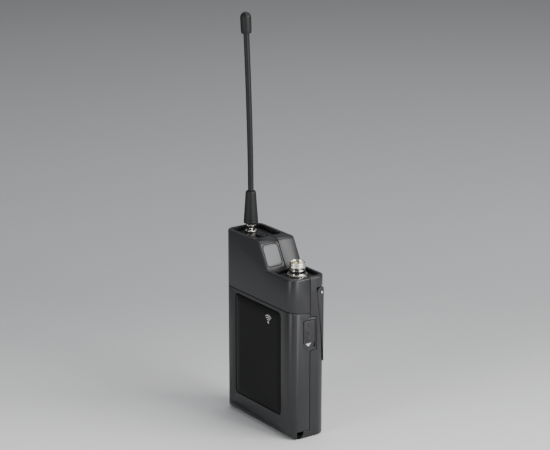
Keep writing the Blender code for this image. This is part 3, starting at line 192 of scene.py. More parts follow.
def start_finish(name, **constants):
    """A Principled material with constant sockets set. Gives the material, a tap and a setter."""
    material = bpy.data.materials.new(name)
    material.use_nodes = True
    tree = material.node_tree
    shader = tree.nodes["Principled BSDF"]
    for socket, value in constants.items():
        shader.inputs[socket.replace("_", " ")].default_value = value

    def link(socket, tap):
        tree.links.new(tap.socket, shader.inputs[socket])

    return material, Tap(tree), link


def speckle(desk, scale, detail=2.0, rough=0.5, stretch=(1.0, 1.0, 1.0)):
    """Noise in metres on the piece's own coordinates, between 0 and 1."""
    place = desk.node('ShaderNodeTexCoord', output="Object")
    spread = desk.node('ShaderNodeMapping', sockets={"Vector": place, "Scale": stretch})
    return desk.node('ShaderNodeTexNoise', sockets={"Vector": spread, "Scale": scale, "Detail": detail,
                                                    "Roughness": rough})


def blend_colours(desk, share, first, second):
    """One colour where share is 0, turning to the other where it is 1."""
    return desk.node('ShaderNodeMix', {"data_type": 'RGBA'},
                     {0: share, 6: (*first, 1.0), 7: (*second, 1.0)}, output=2)


def relief(desk, height, depth, strength=1.0):
    """Normals of a small relief of the given depth in metres."""
    return desk.node('ShaderNodeBump', sockets={"Height": height, "Distance": depth, "Strength": strength})


def floor_finish():
    """Matt grey paper with a faint mottle. Its change from mid grey behind the pack to pale in front is
    painted shade.
    """
    material, desk, link = start_finish("floor_paper_painted_shade", Roughness=0.9, Specular_IOR_Level=0.1)
    x, y, _ = desk.place()
    forward = x * math.sin(VIEW_TURN) - y * math.cos(VIEW_TURN)
    # painted shade: the colour runs from mid grey behind the pack to pale in front
    link("Base Color", blend_colours(desk, forward.between(-0.25, 0.32) + speckle(desk, 3.0) * 0.04,
                                     (0.36, 0.365, 0.375), (0.90, 0.90, 0.90)))
    return material


radius = np.linspace(0.0, 1.0, 24)[:, None] ** 2 * 7.0
turn = np.linspace(0.0, 2 * math.pi, 96, endpoint=False)[None, :]
floor_points = np.stack([radius * np.cos(turn), radius * np.sin(turn), 0.0 * radius * turn - 0.0001], axis=-1)
floor = new_piece("floor", grid_mesh("floor", floor_points, wrap_v=True), material=floor_finish())


# ---- Case shells --------------------------------------------------------------------------
# Front shell, rear shell, battery door and belt clip are injection mouldings in black ABS.
# The tool is fine spark-eroded, so they are satin, with soft edges where the halves meet.
def moulded_finish(name, shade, roughness, grain, edge_gloss=0.0, ior=1.42):
    """Satin moulding: a fine eroded grain, slow drift of gloss, and faint rubbing marks."""
    material, desk, link = start_finish(name, Specular_IOR_Level=0.5, IOR=ior)
    grain_noise = speckle(desk, 5200.0, 2.0, 0.6)
    drift = speckle(desk, 55.0, 3.0, 0.5)
    rub = speckle(desk, 420.0, 3.0, 0.65, (1.0, 1.0, 0.12)).between(0.62, 0.80)
    lighter = tuple(min(1.0, part * 1.45 + 0.003) for part in shade)
    link("Base Color", blend_colours(desk, drift * 0.7 + rub * 0.18, shade, lighter))
    link("Roughness", roughness + (drift - 0.5) * 0.10 + (grain_noise - 0.5) * 0.06 - rub * edge_gloss)
    link("Normal", relief(desk, grain_noise, grain))
    return material


def soften(node, name, body, material, width, crease=38.0):
    """A moulding's own solid with its sharp edges rolled over, as a mould's worn edges leave."""
    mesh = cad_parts[node].data.copy()
    mesh.materials.clear()
    bm = bmesh.new()
    bm.from_mesh(mesh)
    bmesh.ops.remove_doubles(bm, verts=bm.verts, dist=1e-6)
    bmesh.ops.dissolve_limit(bm, angle_limit=math.radians(0.8), verts=bm.verts, edges=bm.edges)
    bm.to_mesh(mesh)
    bm.free()
    mesh.name = name
    mesh.materials.append(material)
    mesh.shade_smooth()
    piece = bpy.data.objects.new(name, mesh)
    bpy.context.scene.collection.objects.link(piece)
    bevel = piece.modifiers.new("rolled_edge", 'BEVEL')
    bevel.width = width
    bevel.segments = 2
    bevel.limit_method = 'ANGLE'
    bevel.angle_limit = math.radians(crease)
    bevel.use_clamp_overlap = False
    bevel.harden_normals = True
    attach(piece, body)
    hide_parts(node)
    return piece


shell_black = moulded_finish("shell_black", (0.0110, 0.0112, 0.0122), 0.36, 0.000012, 0.08)
soften("front_shell", "front_shell_moulding", "case", shell_black, 0.12 * MM)
soften("rear_shell", "rear_shell_moulding", "case", shell_black, 0.12 * MM)
soften("battery_door", "battery_door_moulding", "door", shell_black, 0.12 * MM)
soften("belt_clip", "belt_clip_moulding", "clip", shell_black, 0.15 * MM)


# ---- Decks --------------------------------------------------------------------------------
# Two flat plates in a duller black close the pockets in the top and in the step. The antenna
# socket, the button and its lens stand in one, and the input socket in the other.
def dress(material, *nodes):
    """Give finished solids of the frame their material."""
    for node in nodes:
        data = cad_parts[node].data
        data.materials.clear()
        data.materials.append(material)


deck_black = moulded_finish("deck_black", (0.0075, 0.0075, 0.0085), 0.50, 0.000018)
soften("top_deck", "top_deck_plate", "case", deck_black, 0.10 * MM)
soften("connector_deck", "connector_deck_plate", "case", deck_black, 0.10 * MM)


# ---- Antenna ------------------------------------------------------------------------------
# A plated socket in the deck takes a threaded stud. The ferrule above it holds a tapering
# rubber boot, a bowed whip in smooth elastomer and a thicker rounded cap on its tip.
def eased(corners, closed=False, steps=6):
    """A profile with its corners rounded. Each corner C, given as (r, z) or (r, z, round), turns
    into (1-s)^2 A + 2 s (1-s) C + s^2 B, with A and B at most the round away on either side."""
    spots = [np.array(corner[:2], dtype=float) for corner in corners]
    out = []
    for i, (corner, spot) in enumerate(zip(corners, spots)):
        reach = corner[2] if len(corner) > 2 else 0.0
        if reach == 0.0 or (not closed and i in (0, len(corners) - 1)):
            out.append(spot)
            continue
        sides = []
        for other in (spots[i - 1], spots[(i + 1) % len(spots)]):
            span = np.linalg.norm(other - spot)
            sides.append(spot + (other - spot) * min(reach / span, 0.5))
        for s in np.linspace(0.0, 1.0, steps):
            out.append((1 - s) ** 2 * sides[0] + 2 * s * (1 - s) * spot + s ** 2 * sides[1])
    return np.array(out)


def lathe(name, profile, centre, columns=96, closed=False, shape=None):
    """A turned piece in millimetres: (r cos t, r sin t, z) about an upright axis at the centre.
    The shape function may change r and z over the turn t."""
    turn = np.linspace(0.0, 2 * math.pi, columns, endpoint=False)[None, :]
    r = np.repeat(profile[:, :1], columns, axis=1)
    z = np.repeat(profile[:, 1:], columns, axis=1)
    if shape is not None:
        r, z = shape(r, z, turn)
    points = np.stack([centre[0] + r * np.cos(turn), centre[1] + r * np.sin(turn), z], axis=-1)
    return grid_mesh(name, points * MM, wrap_u=closed, wrap_v=True)


def sweep(name, path, radius, sides=20):
    """A round rod in millimetres along a path, with closed ends. Its rings keep square to the
    path: each ring's first direction is the last one's less its part along the new tangent."""
    tangent = np.gradient(path, axis=0)
    tangent /= np.linalg.norm(tangent, axis=1, keepdims=True)
    across = np.cross(tangent[0], (0.3, 0.5, 0.81))
    turn = np.linspace(0.0, 2 * math.pi, sides, endpoint=False)[:, None]
    rings = [np.repeat(path[:1], sides, axis=0)]
    for spot, along, thick in zip(path, tangent, np.broadcast_to(radius, len(path))):
        across = across - along * np.dot(across, along)
        across /= np.linalg.norm(across)
        rings.append(spot + thick * (np.cos(turn) * across + np.sin(turn) * np.cross(along, across)))
    rings.append(np.repeat(path[-1:], sides, axis=0))
    return grid_mesh(name, np.array(rings) * MM, wrap_v=True)


def rubber_finish(name, shade, roughness, pebble_scale, depth):
    """Soft black elastomer: dull, with a fine pebble and slightly dusty high spots."""
    material, desk, link = start_finish(name, Specular_IOR_Level=0.30)
    pebble = speckle(desk, pebble_scale, 3.0, 0.6)
    dust = speckle(desk, 160.0, 4.0, 0.6).between(0.50, 0.85)
    dusty = tuple(part * 2.1 for part in shade)
    link("Base Color", blend_colours(desk, dust * 0.5 + pebble * 0.2, shade, dusty))
    link("Roughness", roughness + dust * 0.12 + (pebble - 0.5) * 0.08)
    link("Normal", relief(desk, pebble, depth))
    return material


def metal_finish(name, shade, roughness, lathe_depth=0.0, tarnish=0.12):
    """Plated or bare metal: fine lathe lines round it, and a slow tarnish that dulls it."""
    material, desk, link = start_finish(name, Metallic=1.0)
    lines = speckle(desk, 900.0, 2.0, 0.5, (0.15, 0.15, 12.0))
    cloud = speckle(desk, 240.0, 3.0, 0.55)
    darker = tuple(part * (1.0 - tarnish) for part in shade)
    link("Base Color", blend_colours(desk, cloud, shade, darker))
    link("Roughness", roughness + (cloud - 0.5) * 0.10 + (lines - 0.5) * 0.10)
    link("Normal", relief(desk, lines, lathe_depth))
    return material


rubber = rubber_finish("soft_rubber", (0.0040, 0.0040, 0.0045), 0.52, 3800.0, 0.000018)
smooth_rubber = rubber_finish("whip_jacket", (0.0042, 0.0042, 0.0047), 0.42, 2400.0, 0.000006)
nickel = metal_finish("nickel_plate", (0.78, 0.75, 0.69), 0.17, 0.000006)
steel = metal_finish("plain_steel", (0.52, 0.52, 0.53), 0.34, 0.000008)

ANTENNA = (-25.0, 1.0)
WHIP_FOOT, WHIP_END = 128.4, 217.4
WHIP_TURN = math.radians(235.0)


def whip_line(z):
    """Middle of the whip at a height: it bows by 2.1 ((z - foot) / length)^1.6 millimetres."""
    z = np.asarray(z, dtype=float)
    reach = 2.1 * (np.maximum(z - WHIP_FOOT, 0.0) / (WHIP_END - WHIP_FOOT)) ** 1.6
    return np.stack([ANTENNA[0] + reach * math.cos(WHIP_TURN),
                     ANTENNA[1] + reach * math.sin(WHIP_TURN), z], -1)


boot = eased([(1.9, 110.4), (1.9, 109.9, 0.3), (4.15, 109.9, 0.35), (4.15, 111.0, 0.4), (3.98, 111.35, 0.3),
              (4.02, 111.9, 0.6), (2.92, 127.6, 0.5), (2.55, 128.4, 0.35), (1.7, 128.4, 0.15), (1.7, 127.0)])
new_piece("antenna_boot_cone", lathe("antenna_boot_cone", boot, ANTENNA), "antenna", ["antenna_boot"],
          rubber)
whip_path = whip_line(np.concatenate([[113.2], np.linspace(WHIP_FOOT, 225.0, 90)]))
new_piece("antenna_whip_rod", sweep("antenna_whip_rod", whip_path, 1.6, 40), "antenna", ["antenna_whip"],
          smooth_rubber)

dome = [(3.0 * math.cos(a), 8.8 + 3.0 * math.sin(a)) for a in np.linspace(0.0, math.pi / 2, 14)]
cap = np.concatenate([eased([(0.0, 7.8), (1.75, 7.8), (1.75, 0.0, 0.15), (2.75, 0.0, 0.35), (2.88, 0.9, 0.4),
                             (3.0, 2.2, 0.6), (3.0, 8.0)]), dome])
cap_mesh = lathe("antenna_cap_tip", cap, (0.0, 0.0))
cap_foot, cap_top = whip_line([WHIP_END, WHIP_END + 11.8])
lean = Vector((0, 0, 1)).rotation_difference(Vector(cap_top - cap_foot))
cap_mesh.transform(lean.to_matrix().to_4x4())
cap_mesh.transform(Matrix.Translation(cap_foot * MM))
new_piece("antenna_cap_tip", cap_mesh, "antenna", ["antenna_cap"], rubber)


def knurled(low, high, least, count, depth):
    """Straight knurl on the rim between two heights: r falls by depth (1 - cos(count t)) / 2."""
    def shape(r, z, turn):
        rim = (z > low) & (z < high) & (r > least)
        return r - rim * depth * (1 - np.cos(count * turn)) / 2, z
    return shape


stud = [(1.4 if i % 2 else 1.24, 98.7 + 0.5 * i) for i in range(17)]
ferrule = np.concatenate([[(0.0, 98.5)], stud, eased([(1.4, 107.0), (2.2, 107.0, 0.25), (2.2, 108.2, 0.2),
                          (2.9, 108.5, 0.2), (2.9, 108.75), (2.9, 109.35), (2.9, 109.6, 0.2), (1.4, 109.6)]),
                          [(1.4, 112.9), (0.0, 112.9)]])
new_piece("antenna_ferrule_turned", lathe("antenna_ferrule_turned", ferrule, ANTENNA, 144,
          shape=knurled(108.6, 109.5, 2.7, 36, 0.10)), "antenna", ["antenna_ferrule"], nickel)
socket_ring = eased([(1.7, 105.7, 0.2), (1.7, 98.0), (2.6, 98.0, 0.15), (2.6, 104.8), (3.4, 104.8, 0.15),
                     (3.4, 105.7, 0.25)], closed=True)
new_piece("antenna_socket_turned", lathe("antenna_socket_turned", socket_ring, ANTENNA, closed=True), "case",
          ["antenna_socket"], nickel)
ring = [(2.0 + 0.35 * math.cos(a), 106.35 + 0.35 * math.sin(a)) for a in np.linspace(0, 2 * math.pi, 16)[:-1]]
new_piece("antenna_seal_ring", lathe("antenna_seal_ring", np.array(ring), ANTENNA, 64, closed=True),
          "antenna_lift", ["antenna_seal"], smooth_rubber)


# ---- Input connector ----------------------------------------------------------------------
# A round plated sleeve with a key slot and two shallow grooves stands on the step, held by a
# low knurled nut. Four gold pins with domed ends stand in a black insulator inside it.
CONNECTOR = (19.0, 1.5)
SLOT_HALF_TURN = math.asin(0.6 / 4.1)
SLOT_LOW = 95.6


def key_slotted(r, z, turn):
    """Lower the rim to the slot's floor within a narrow turn about the front, t = -90 degrees."""
    off = np.abs((turn + math.pi / 2 + math.pi) % (2 * math.pi) - math.pi)
    return r, np.where(off < SLOT_HALF_TURN, np.minimum(z, SLOT_LOW), z)


sleeve = eased([(3.7, 97.6), (3.86, 98.1, 0.12), (4.30, 98.1, 0.15), (4.45, 97.85, 0.12), (4.45, 97.2, 0.1),
                (4.30, 97.05, 0.08), (4.30, 96.85, 0.08), (4.45, 96.7, 0.1), (4.45, 94.4, 0.1),
                (4.30, 94.25, 0.08), (4.30, 94.05, 0.08), (4.45, 93.9, 0.1), (4.45, 88.2), (3.7, 88.2)],
               closed=True)
new_piece("connector_sleeve", lathe("connector_sleeve", sleeve, CONNECTOR, 240, closed=True,
          shape=key_slotted), "case", ["connector_shell"], nickel)
nut = eased([(4.75, 90.8), (5.7, 90.8, 0.12), (5.7, 91.0), (5.7, 91.5), (5.45, 91.7, 0.15), (4.85, 91.7, 0.1),
             (4.75, 91.6)], closed=True)
new_piece("connector_ring_nut", lathe("connector_ring_nut", nut, CONNECTOR, 192, closed=True,
          shape=knurled(90.85, 91.55, 5.6, 48, 0.14)), "case", ["connector_nut"], nickel)
soften("connector_insulator", "connector_insulator_block", "case", deck_black, 0.10 * MM)
gold = metal_finish("contact_gold", (0.86, 0.62, 0.25), 0.22, 0.000004)
for number in range(4):
    bearing = math.radians(45 + 90 * number)
    middle = (CONNECTOR[0] + 1.9 * math.cos(bearing), CONNECTOR[1] + 1.9 * math.sin(bearing))
    tip = [(0.45 * math.cos(a), 95.65 + 0.45 * math.sin(a)) for a in np.linspace(0.0, math.pi / 2, 8)]
    pin = np.array([(0.0, 88.2), (0.45, 88.2)] + tip)
    pin_name = f"contact_pin_{number + 1}"
    new_piece(pin_name, lathe(pin_name, pin, middle, 28), "case", [f"connector_pin_{number + 1}"],
              gold)


# ---- Power button and light -----------------------------------------------------------------
# The power button is a short rubber cylinder with a dished top, in a collar that keeps it in
# the deck. Behind its right side a dark oval lens covers the status light.
BUTTON = (-15.0, 1.5)
dish = [(2.6 * s, 105.7 - 0.28 * (1 - s * s)) for s in np.linspace(0.0, 1.0, 10)]
button = np.concatenate([dish, eased([(2.65, 105.7), (3.05, 105.7, 0.2), (3.25, 105.45, 0.2), (3.25, 102.8),
                                      (4.15, 102.8, 0.1), (4.15, 101.9), (0.0, 101.9)])])
new_piece("power_button_cap", lathe("power_button_cap", button, BUTTON), "button", ["power_button"],
          rubber)


def round_outline(half_u, half_v, radius, steps=8):
    """Points and outward normals of a rectangle with round corners, anticlockwise."""
    points, normals = [], []
    for number, (su, sv) in enumerate(((1, 1), (-1, 1), (-1, -1), (1, -1))):
        for a in np.radians(90.0 * number + np.linspace(0.0, 90.0, steps + 1)):
            points.append((su * (half_u - radius) + radius * math.cos(a),
                           sv * (half_v - radius) + radius * math.sin(a)))
            normals.append((math.cos(a), math.sin(a)))
    return np.array(points), np.array(normals)


def pillow(name, outline, layers, crown, spot, axes):
    """A plate in millimetres: the outline p moved in along its normals n, p - i n, at each layer's
    height h, then drawn in to the middle under a crown h + crown (1 - s^2). Axes say where the
    plate's two directions and its thickness point."""
    points, normals = outline
    rings = []
    for inset, height in layers:
        ring = points - inset * normals
        rings.append(np.column_stack([ring, np.full(len(ring), height)]))
    top, base = rings[-1], rings[0]
    for s in (0.8, 0.6, 0.4, 0.2, 0.0):
        rings.append(np.column_stack([top[:, :2] * s, top[:, 2] + crown * (1 - s * s)]))
    rings.insert(0, base * (0.0, 0.0, 1.0))
    return grid_mesh(name, (np.array(rings) @ np.array(axes) + np.array(spot)) * MM, wrap_v=True)


UPRIGHT = ((1, 0, 0), (0, 1, 0), (0, 0, 1))
lens_dark = moulded_finish("lens_dark", (0.012, 0.006, 0.006), 0.07, 0.000001)
new_piece("status_lens", pillow("status_lens", round_outline(2.5, 1.0, 0.999),
          [(0, 0), (0, 1.6), (0.08, 1.78), (0.3, 1.9)], 0.12, (-9.0, 3.0, 103.1), UPRIGHT),
          "case", ["led_lens"], lens_dark)
ivory = moulded_finish("ivory_plastic", (0.60, 0.57, 0.48), 0.45, 0.000008)
dress(ivory, "led_emitter")


# ---- Ramp panel -----------------------------------------------------------------------------
# A mid-grey satin insert fills the front half of the ramp. It is flush with the moulding, very
# slightly crowned, and has an eased edge that catches the light.
RAMP_DOWN = np.array((7.9, 0.0, -14.5)) / math.hypot(7.9, 14.5)
RAMP_OUT = np.array((14.5, 0.0, 7.9)) / math.hypot(7.9, 14.5)
panel_grey = moulded_finish("panel_grey", (0.072, 0.074, 0.079), 0.40, 0.000010)
ramp_middle = np.array((1.5, -5.45, 107.0)) + RAMP_DOWN * 8.35 - RAMP_OUT * 0.6
new_piece("ramp_insert", pillow("ramp_insert", round_outline(6.15, 4.85, 1.999),
          [(0, 0), (0, 0.45), (0.05, 0.54), (0.16, 0.6)], 0.08, ramp_middle,
          (RAMP_DOWN, (0, 1, 0), RAMP_OUT)), "case", ["ramp_panel"], panel_grey)


# ---- Door panel -------------------------------------------------------------------------------
# A sheet of gloss black acrylic lies in a shallow recess in the door, with a polished chamfer
# all round. A small pale wave sign is printed on it near its upper right corner.
def gloss_finish():
    """Polished acrylic: deep black, with faint wipe marks and a few fine hairlines in the gloss."""
    material, desk, link = start_finish("gloss_black", Specular_IOR_Level=0.5, IOR=1.20)
    wipe = speckle(desk, 38.0, 3.0, 0.55, (1.0, 1.0, 0.45))
    hairline = speckle(desk, 700.0, 1.0, 0.4, (1.0, 1.0, 0.03)).between(0.66, 0.72)
    link("Base Color", blend_colours(desk, wipe, (0.0016, 0.0016, 0.0018), (0.0030, 0.0030, 0.0034)))
    link("Roughness", 0.055 + wipe * 0.06 + hairline * 0.05)
    link("Normal", relief(desk, wipe, 0.000002))
    return material


def print_and_painted_highlight_finish(name, shade):
    """Screen-printed ink: flat and matt, slightly thin in places. On the latch arrows the same pale finish is
    painted highlight.
    """
    material, desk, link = start_finish(name, Specular_IOR_Level=0.4)
    thin = speckle(desk, 1500.0, 2.0, 0.5)
    link("Base Color", blend_colours(desk, thin, shade, tuple(part * 0.82 for part in shade)))
    link("Roughness", 0.45 + thin * 0.15)
    return material


FRONTWARD = ((1, 0, 0), (0, 0, 1), (0, -1, 0))
new_piece("door_panel_sheet", pillow("door_panel_sheet", round_outline(22.0, 29.7, 2.2), [(0, 0), (0, 0.28),
          (0.20, 0.46), (0.30, 0.5)], 0.0, (0.0, -11.05, 42.0), FRONTWARD), "door", ["door_panel"],
          gloss_finish())


def strip(name, centre, inner, outer, first, last, y, thick=0.02, steps=24):
    """A flat ring sector facing -Y, its cross-section carried from the first to the last degree."""
    turn = np.radians(np.linspace(first, last, steps))[:, None]
    section = np.array([(inner, 0.0), (outer, 0.0), (outer, thick), (inner, thick)])
    reach = np.repeat(section[None, :, 0], steps, axis=0)
    rings = np.stack([centre[0] + reach * np.cos(turn), np.repeat(y - section[None, :, 1], steps, axis=0),
                      centre[1] + reach * np.sin(turn)], axis=-1)
    middle = rings.mean(axis=1, keepdims=True)
    rings = np.concatenate([np.repeat(middle[:1], 4, axis=1), rings, np.repeat(middle[-1:], 4, axis=1)])
    return grid_mesh(name, rings * MM, wrap_v=True)


# pale ink: real print on the wave sign, painted highlight on the latch arrows
pale_print_and_highlight = print_and_painted_highlight_finish("pale_ink_and_painted_highlight", (0.50, 0.50, 0.51))
WAVE_SIGN = (10.0, 63.2)
DOOR_FACE_Y = -11.548
for number, (inner, outer, spread) in enumerate(((0.05, 0.65, 180.0), (1.3, 1.8, 42.0), (2.5, 3.0, 42.0),
                                                 (3.7, 4.2, 42.0)), 1):
    wave = strip(f"wave_sign_{number}", WAVE_SIGN, inner, outer, 90 - spread, 90 + spread, DOOR_FACE_Y)
    new_piece(f"wave_sign_{number}", wave, "door", material=pale_print_and_highlight)


# ---- Latches ----------------------------------------------------------------------------------
# Each narrow side has a sliding latch in the door's ear: a flat plate with three domed dots and
# eased edges. An arrow on the floor of its track shows which way it opens; its pale colour is
# painted highlight where the track floor catches the light.
LATCH_DOT_Y = -0.21
LATCH_PLATE_X = 32.45
LATCH_TRACK_X = 31.6
latch_black = moulded_finish("latch_black", (0.0120, 0.0120, 0.0132), 0.40, 0.000012, 0.10)
soften("latch_left", "latch_left_slider", "latch_slide_left", latch_black, 0.14 * MM)
soften("latch_right", "latch_right_slider", "latch_slide_right", latch_black, 0.14 * MM)
for side, hand in ((-1, "left"), (1, "right")):
    outward = ((0, -side, 0), (0, 0, 1), (side, 0, 0))
    for number, z in enumerate((57.65, 61.80, 65.95), 1):
        dot_name = f"latch_{hand}_dot_{number}"
        dot = pillow(dot_name, round_outline(0.98, 0.98, 0.979, 10), [(0, 0), (0.04, 0.16), (0.18, 0.32)],
                     0.14, (side * LATCH_PLATE_X, LATCH_DOT_Y, z), outward)
        new_piece(dot_name, dot, f"latch_slide_{hand}", material=latch_black)
    # the arrow's pale colour is painted highlight on the track floor
    arrow = np.array([(-1.9, 1.0), (1.9, 1.0), (0.0, -0.9)])
    floor_level, arrow_top_level = (np.column_stack([arrow, np.full(3, level)]) for level in (0.0, 0.03))
    faces = np.array([floor_level * (0, 0, 1), floor_level, arrow_top_level, arrow_top_level * (0, 0, 1)])
    spot = np.array((side * LATCH_TRACK_X, LATCH_DOT_Y + 0.35, 53.9))
    arrow_mesh = grid_mesh(f"latch_{hand}_arrow", (faces @ np.array(outward) + spot) * MM, wrap_v=True)
    new_piece(f"latch_{hand}_arrow", arrow_mesh, "door", material=pale_print_and_highlight)


# ---- Belt clip hardware -----------------------------------------------------------------------
# The clip turns on a ground steel pin that shows at both sides. Its torsion spring is wound in
# plain steel wire, and moulded ribs near the clip's tip give the thumb a hold.
CLIP_AXIS = (8.7, 82.8)
COIL_TURNS = 6
COIL_RADIUS = 1.55
clip_pin = eased([(0.0, 32.2), (0.75, 32.2, 0.18), (0.75, 31.0), (0.75, 0.0), (0.75, -31.0),
                  (0.75, -32.2, 0.18), (0.0, -32.2)])
pin_mesh = lathe("clip_pin_rod", clip_pin, (0.0, 0.0), 40)
pin_mesh.transform(Matrix(((0, 0, 1, 0), (1, 0, 0, CLIP_AXIS[0] * MM), (0, 1, 0, CLIP_AXIS[1] * MM),
                           (0, 0, 0, 1))))
new_piece("clip_pin_rod", pin_mesh, "case", ["clip_pin"], steel)
share = np.linspace(0.0, 1.0, COIL_TURNS * 48 + 1)
coil_turn = share * COIL_TURNS * 2 * math.pi
coil = np.stack([-7.7 + 15.4 * share, CLIP_AXIS[0] + COIL_RADIUS * np.cos(coil_turn),
                 CLIP_AXIS[1] + COIL_RADIUS * np.sin(coil_turn)], axis=-1)
new_piece("clip_spring_coil", sweep("clip_spring_coil", coil, 0.3, 12), "case", ["clip_spring"],
          steel)
for number in range(6):
    rib = pillow(f"clip_rib_{number + 1}", round_outline(16.0, 0.45, 0.449, 6),
                 [(0, 0), (0.08, 0.16), (0.26, 0.26)], 0.02, (0.0, 11.70, 45.4 + 1.9 * number),
                 ((-1, 0, 0), (0, 0, 1), (0, 1, 0)))
    new_piece(f"clip_rib_{number + 1}", rib, "clip", material=shell_black)


# ---- Battery bay ------------------------------------------------------------------------------
# Two AA cells stand side by side in a moulded tray, one each way up, between nickel contact
# plates and coil springs. Each has a two-tone printed sleeve and a bright cap with a nub.
def sleeve_finish(name, low, high, bright_low):
    """Printed shrink sleeve: a dark lower body and a copper band at the positive end."""
    material, desk, link = start_finish(name, Specular_IOR_Level=0.6, Coat_Weight=0.25, Coat_Roughness=0.08)
    _, _, z = desk.place()
    band = z.between(low, low + 0.0002) * (1.0 - z.between(high, high + 0.0002))
    fade = speckle(desk, 300.0, 3.0, 0.5)
    printed = blend_colours(desk, fade * 0.4, (0.020, 0.045, 0.095), (0.030, 0.062, 0.120))
    copper = blend_colours(desk, fade * 0.4, bright_low, tuple(part * 0.8 for part in bright_low))
    link("Base Color", desk.node('ShaderNodeMix', {"data_type": 'RGBA'}, {0: band, 6: printed, 7: copper},
                                 output=2))
    link("Roughness", 0.24 + fade * 0.10)
    return material


COPPER = (0.42, 0.16, 0.06)
CELL_LENGTH = 50.5
CELL_Y = -2.6
for name, x, z, way, low, high in (("battery_left", -21.6, 10.9, 1, 0.0445, 0.0599),
                                   ("battery_right", -6.8, 8.8, -1, 0.0098, 0.0240)):
    can = eased([(0.0, 0.0), (4.6, 0.0, 0.1), (4.8, 0.12, 0.1), (6.8, 0.12, 0.2), (7.25, 0.55, 0.35),
                 (7.25, 25.0), (7.25, 48.9, 0.35), (6.9, 49.45, 0.25), (3.2, 49.5, 0.1), (2.75, 49.6, 0.1),
                 (2.75, 50.3, 0.2), (2.4, 50.5, 0.2), (0.0, CELL_LENGTH)])
    if way < 0:
        can = can * (1, -1) + (0, CELL_LENGTH)
    mesh = lathe(f"{name}_cell", can + (0, z), (x, CELL_Y))
    new_piece(f"{name}_cell", mesh, "case", [name],
              sleeve_finish(f"{name}_sleeve", low, high, COPPER))
for name, x, z, height in (("spring_left", -21.6, 8.8, 1.8), ("spring_right", -6.8, 59.6, 1.8)):
    share = np.linspace(0.0, 1.0, 180)
    coil_turn = share * 2.5 * 2 * math.pi
    reach = 4.6 - 1.8 * share
    wire = np.stack([x + reach * np.cos(coil_turn), CELL_Y + reach * np.sin(coil_turn),
                     z + 0.25 + (height - 0.5) * share], axis=-1)
    new_piece(f"{name}_coil", sweep(f"{name}_coil", wire, 0.25, 12), "case", [name], steel)
for node in ("contact_bottom", "contact_top_left", "contact_top_right"):
    soften(node, f"{node}_plate", "case", nickel, 0.08 * MM)
tray_black = moulded_finish("tray_black", (0.010, 0.010, 0.011), 0.48, 0.000020)
soften("battery_tray", "battery_tray_moulding", "case", tray_black, 0.12 * MM)


# ---- Control bay ------------------------------------------------------------------------------
# Beside the cells a panel carries the channel dial with sixteen marks round it, two level trims
# with their own arcs, and a small screwdriver with a knurled handle kept in a groove.
dial_ivory = moulded_finish("dial_ivory", (0.55, 0.53, 0.46), 0.42, 0.000008, 0.06)
soften("channel_dial", "channel_dial_knob", "dial", dial_ivory, 0.20 * MM)
soften("mic_trim_dial", "mic_trim_screw", "mic_trim", dial_ivory, 0.12 * MM)
soften("line_trim_dial", "line_trim_screw", "line_trim", dial_ivory, 0.12 * MM)
PRINT_Y = -3.998
print_white = print_and_painted_highlight_finish("white_ink", (0.62, 0.62, 0.60))
for number in range(16):
    bearing = 90.0 - 22.5 * number
    long_mark = 1.1 if number % 4 == 0 else 0.7
    tick_name = f"channel_mark_{number + 1}"
    tick = strip(tick_name, (11.0, 50.0), 5.2, 5.2 + long_mark, bearing - 1.6, bearing + 1.6, PRINT_Y,
                 steps=4)
    new_piece(tick_name, tick, "case", material=print_white)
for name, z in (("mic", 54.0), ("line", 42.0)):
    arc_mark = strip(f"{name}_trim_arc", (23.0, z), 2.5, 2.8, -45.0, 225.0, PRINT_Y, steps=32)
    new_piece(f"{name}_trim_arc", arc_mark, "case", material=print_white)
blue = moulded_finish("blue_plastic", (0.03, 0.10, 0.24), 0.35, 0.000006)
for node in ("mic_trim_body", "line_trim_body"):
    soften(node, f"{node}_block", "case", blue, 0.15 * MM)
soften("channel_switch", "channel_switch_block", "case", deck_black, 0.15 * MM)


def fluted(r, z, turn):
    """Six shallow flutes along the middle of the handle: r falls by 0.22 (1 - cos(6 t)) / 2."""
    grip = (z > 27.2) & (z < 36.6) & (r > 1.5)
    return r - grip * 0.22 * (1 - np.cos(6 * turn)) / 2, z


DRIVER = (11.0, -6.2)
handle = eased([(1.0, 31.0), (1.0, 26.0, 0.1), (1.75, 26.0, 0.2), (1.9, 26.8, 0.2), (1.9, 27.1), (1.9, 27.6),
                (1.9, 32.0), (1.9, 36.2), (1.9, 36.7), (1.9, 37.6, 0.35), (1.4, 38.0, 0.3), (0.0, 38.0)])
handle = np.concatenate([[(0.0, 31.0)], handle])
grip_grey = moulded_finish("grip_grey", (0.10, 0.10, 0.11), 0.40, 0.000014)
new_piece("driver_grip", lathe("driver_grip", handle, DRIVER, 96, shape=fluted), "case", ["driver_handle"],
          grip_grey)


def spatulate(r, z, turn):
    """The blade's end is ground flat: its depth in Y shrinks over the last two millimetres."""
    flat = 1 - 0.68 * np.clip((14.2 - z) / 2.0, 0.0, 1.0)
    direction = np.abs(np.sin(turn))
    return r * (1 - direction * (1 - flat)), z


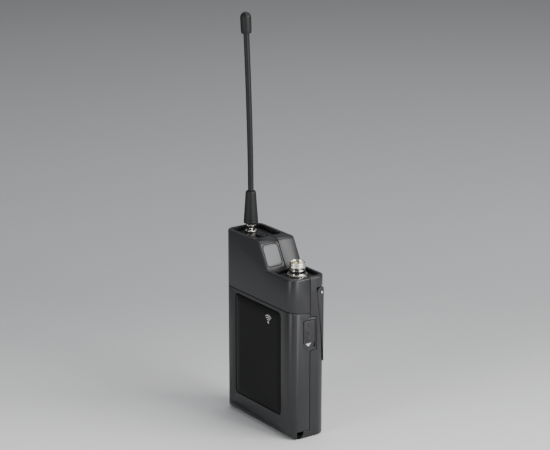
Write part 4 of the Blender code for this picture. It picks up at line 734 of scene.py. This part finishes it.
blade = eased([(0.0, 12.0), (0.62, 12.0, 0.05), (0.66, 12.3), (0.7, 12.9), (0.7, 13.5), (0.7, 14.2),
               (0.7, 20.0), (0.7, 30.5), (0.0, 30.5)])
new_piece("driver_blade_rod", lathe("driver_blade_rod", blade, DRIVER, 48, shape=spatulate), "case",
          ["driver_blade"], steel)


# ---- Screws, hinge pins and contacts ------------------------------------------------------------
# Four cross-head screws close the case from behind, two steel pins carry the door, and two gold
# pads in the base meet the pins of a charging stand.
for number in (1, 2, 3, 4):
    soften(f"case_screw_{number}", f"cross_head_screw_{number}", "case", steel, 0.12 * MM)
for hand in ("left", "right"):
    soften(f"hinge_pin_{hand}", f"hinge_pin_{hand}_rod", "case", steel, 0.15 * MM)
for side, hand in ((-1, "left"), (1, "right")):
    pad = pillow(f"charge_pad_{hand}", round_outline(2.5, 1.5, 0.35, 5),
                 [(0, 0), (0, 0.38), (0.12, 0.5)], 0.0, (side * 7.0, 4.0, 0.7),
                 ((1, 0, 0), (0, -1, 0), (0, 0, -1)))
    new_piece(f"charge_pad_{hand}", pad, "case", [f"charge_contact_{hand}"], gold)


# ---- Boards -------------------------------------------------------------------------------------
# Inside, the main board and the small switch board are green solder mask over glass fibre, and
# a tinned steel can screens the radio part.
def board_finish():
    """Solder mask: a weave of glass shows faintly through the green, which has a slight gloss."""
    material, desk, link = start_finish("solder_mask", Specular_IOR_Level=0.5)
    warp = speckle(desk, 2500.0, 1.0, 0.4, (1.0, 1.0, 0.1))
    weft = speckle(desk, 2500.0, 1.0, 0.4, (0.1, 1.0, 1.0))
    weave = (warp + weft) * 0.5
    link("Base Color", blend_colours(desk, weave, (0.010, 0.075, 0.030), (0.016, 0.110, 0.045)))
    link("Roughness", 0.30 + weave * 0.15)
    link("Normal", relief(desk, weave, 0.000010))
    return material


solder_mask = board_finish()
soften("main_board", "main_board_plate", "case", solder_mask, 0.06 * MM)
soften("switch_board", "switch_board_plate", "case", solder_mask, 0.06 * MM)
soften("rf_shield", "rf_shield_can", "case", steel, 0.25 * MM)
soften("button_switch", "button_switch_block", "case", steel, 0.12 * MM)
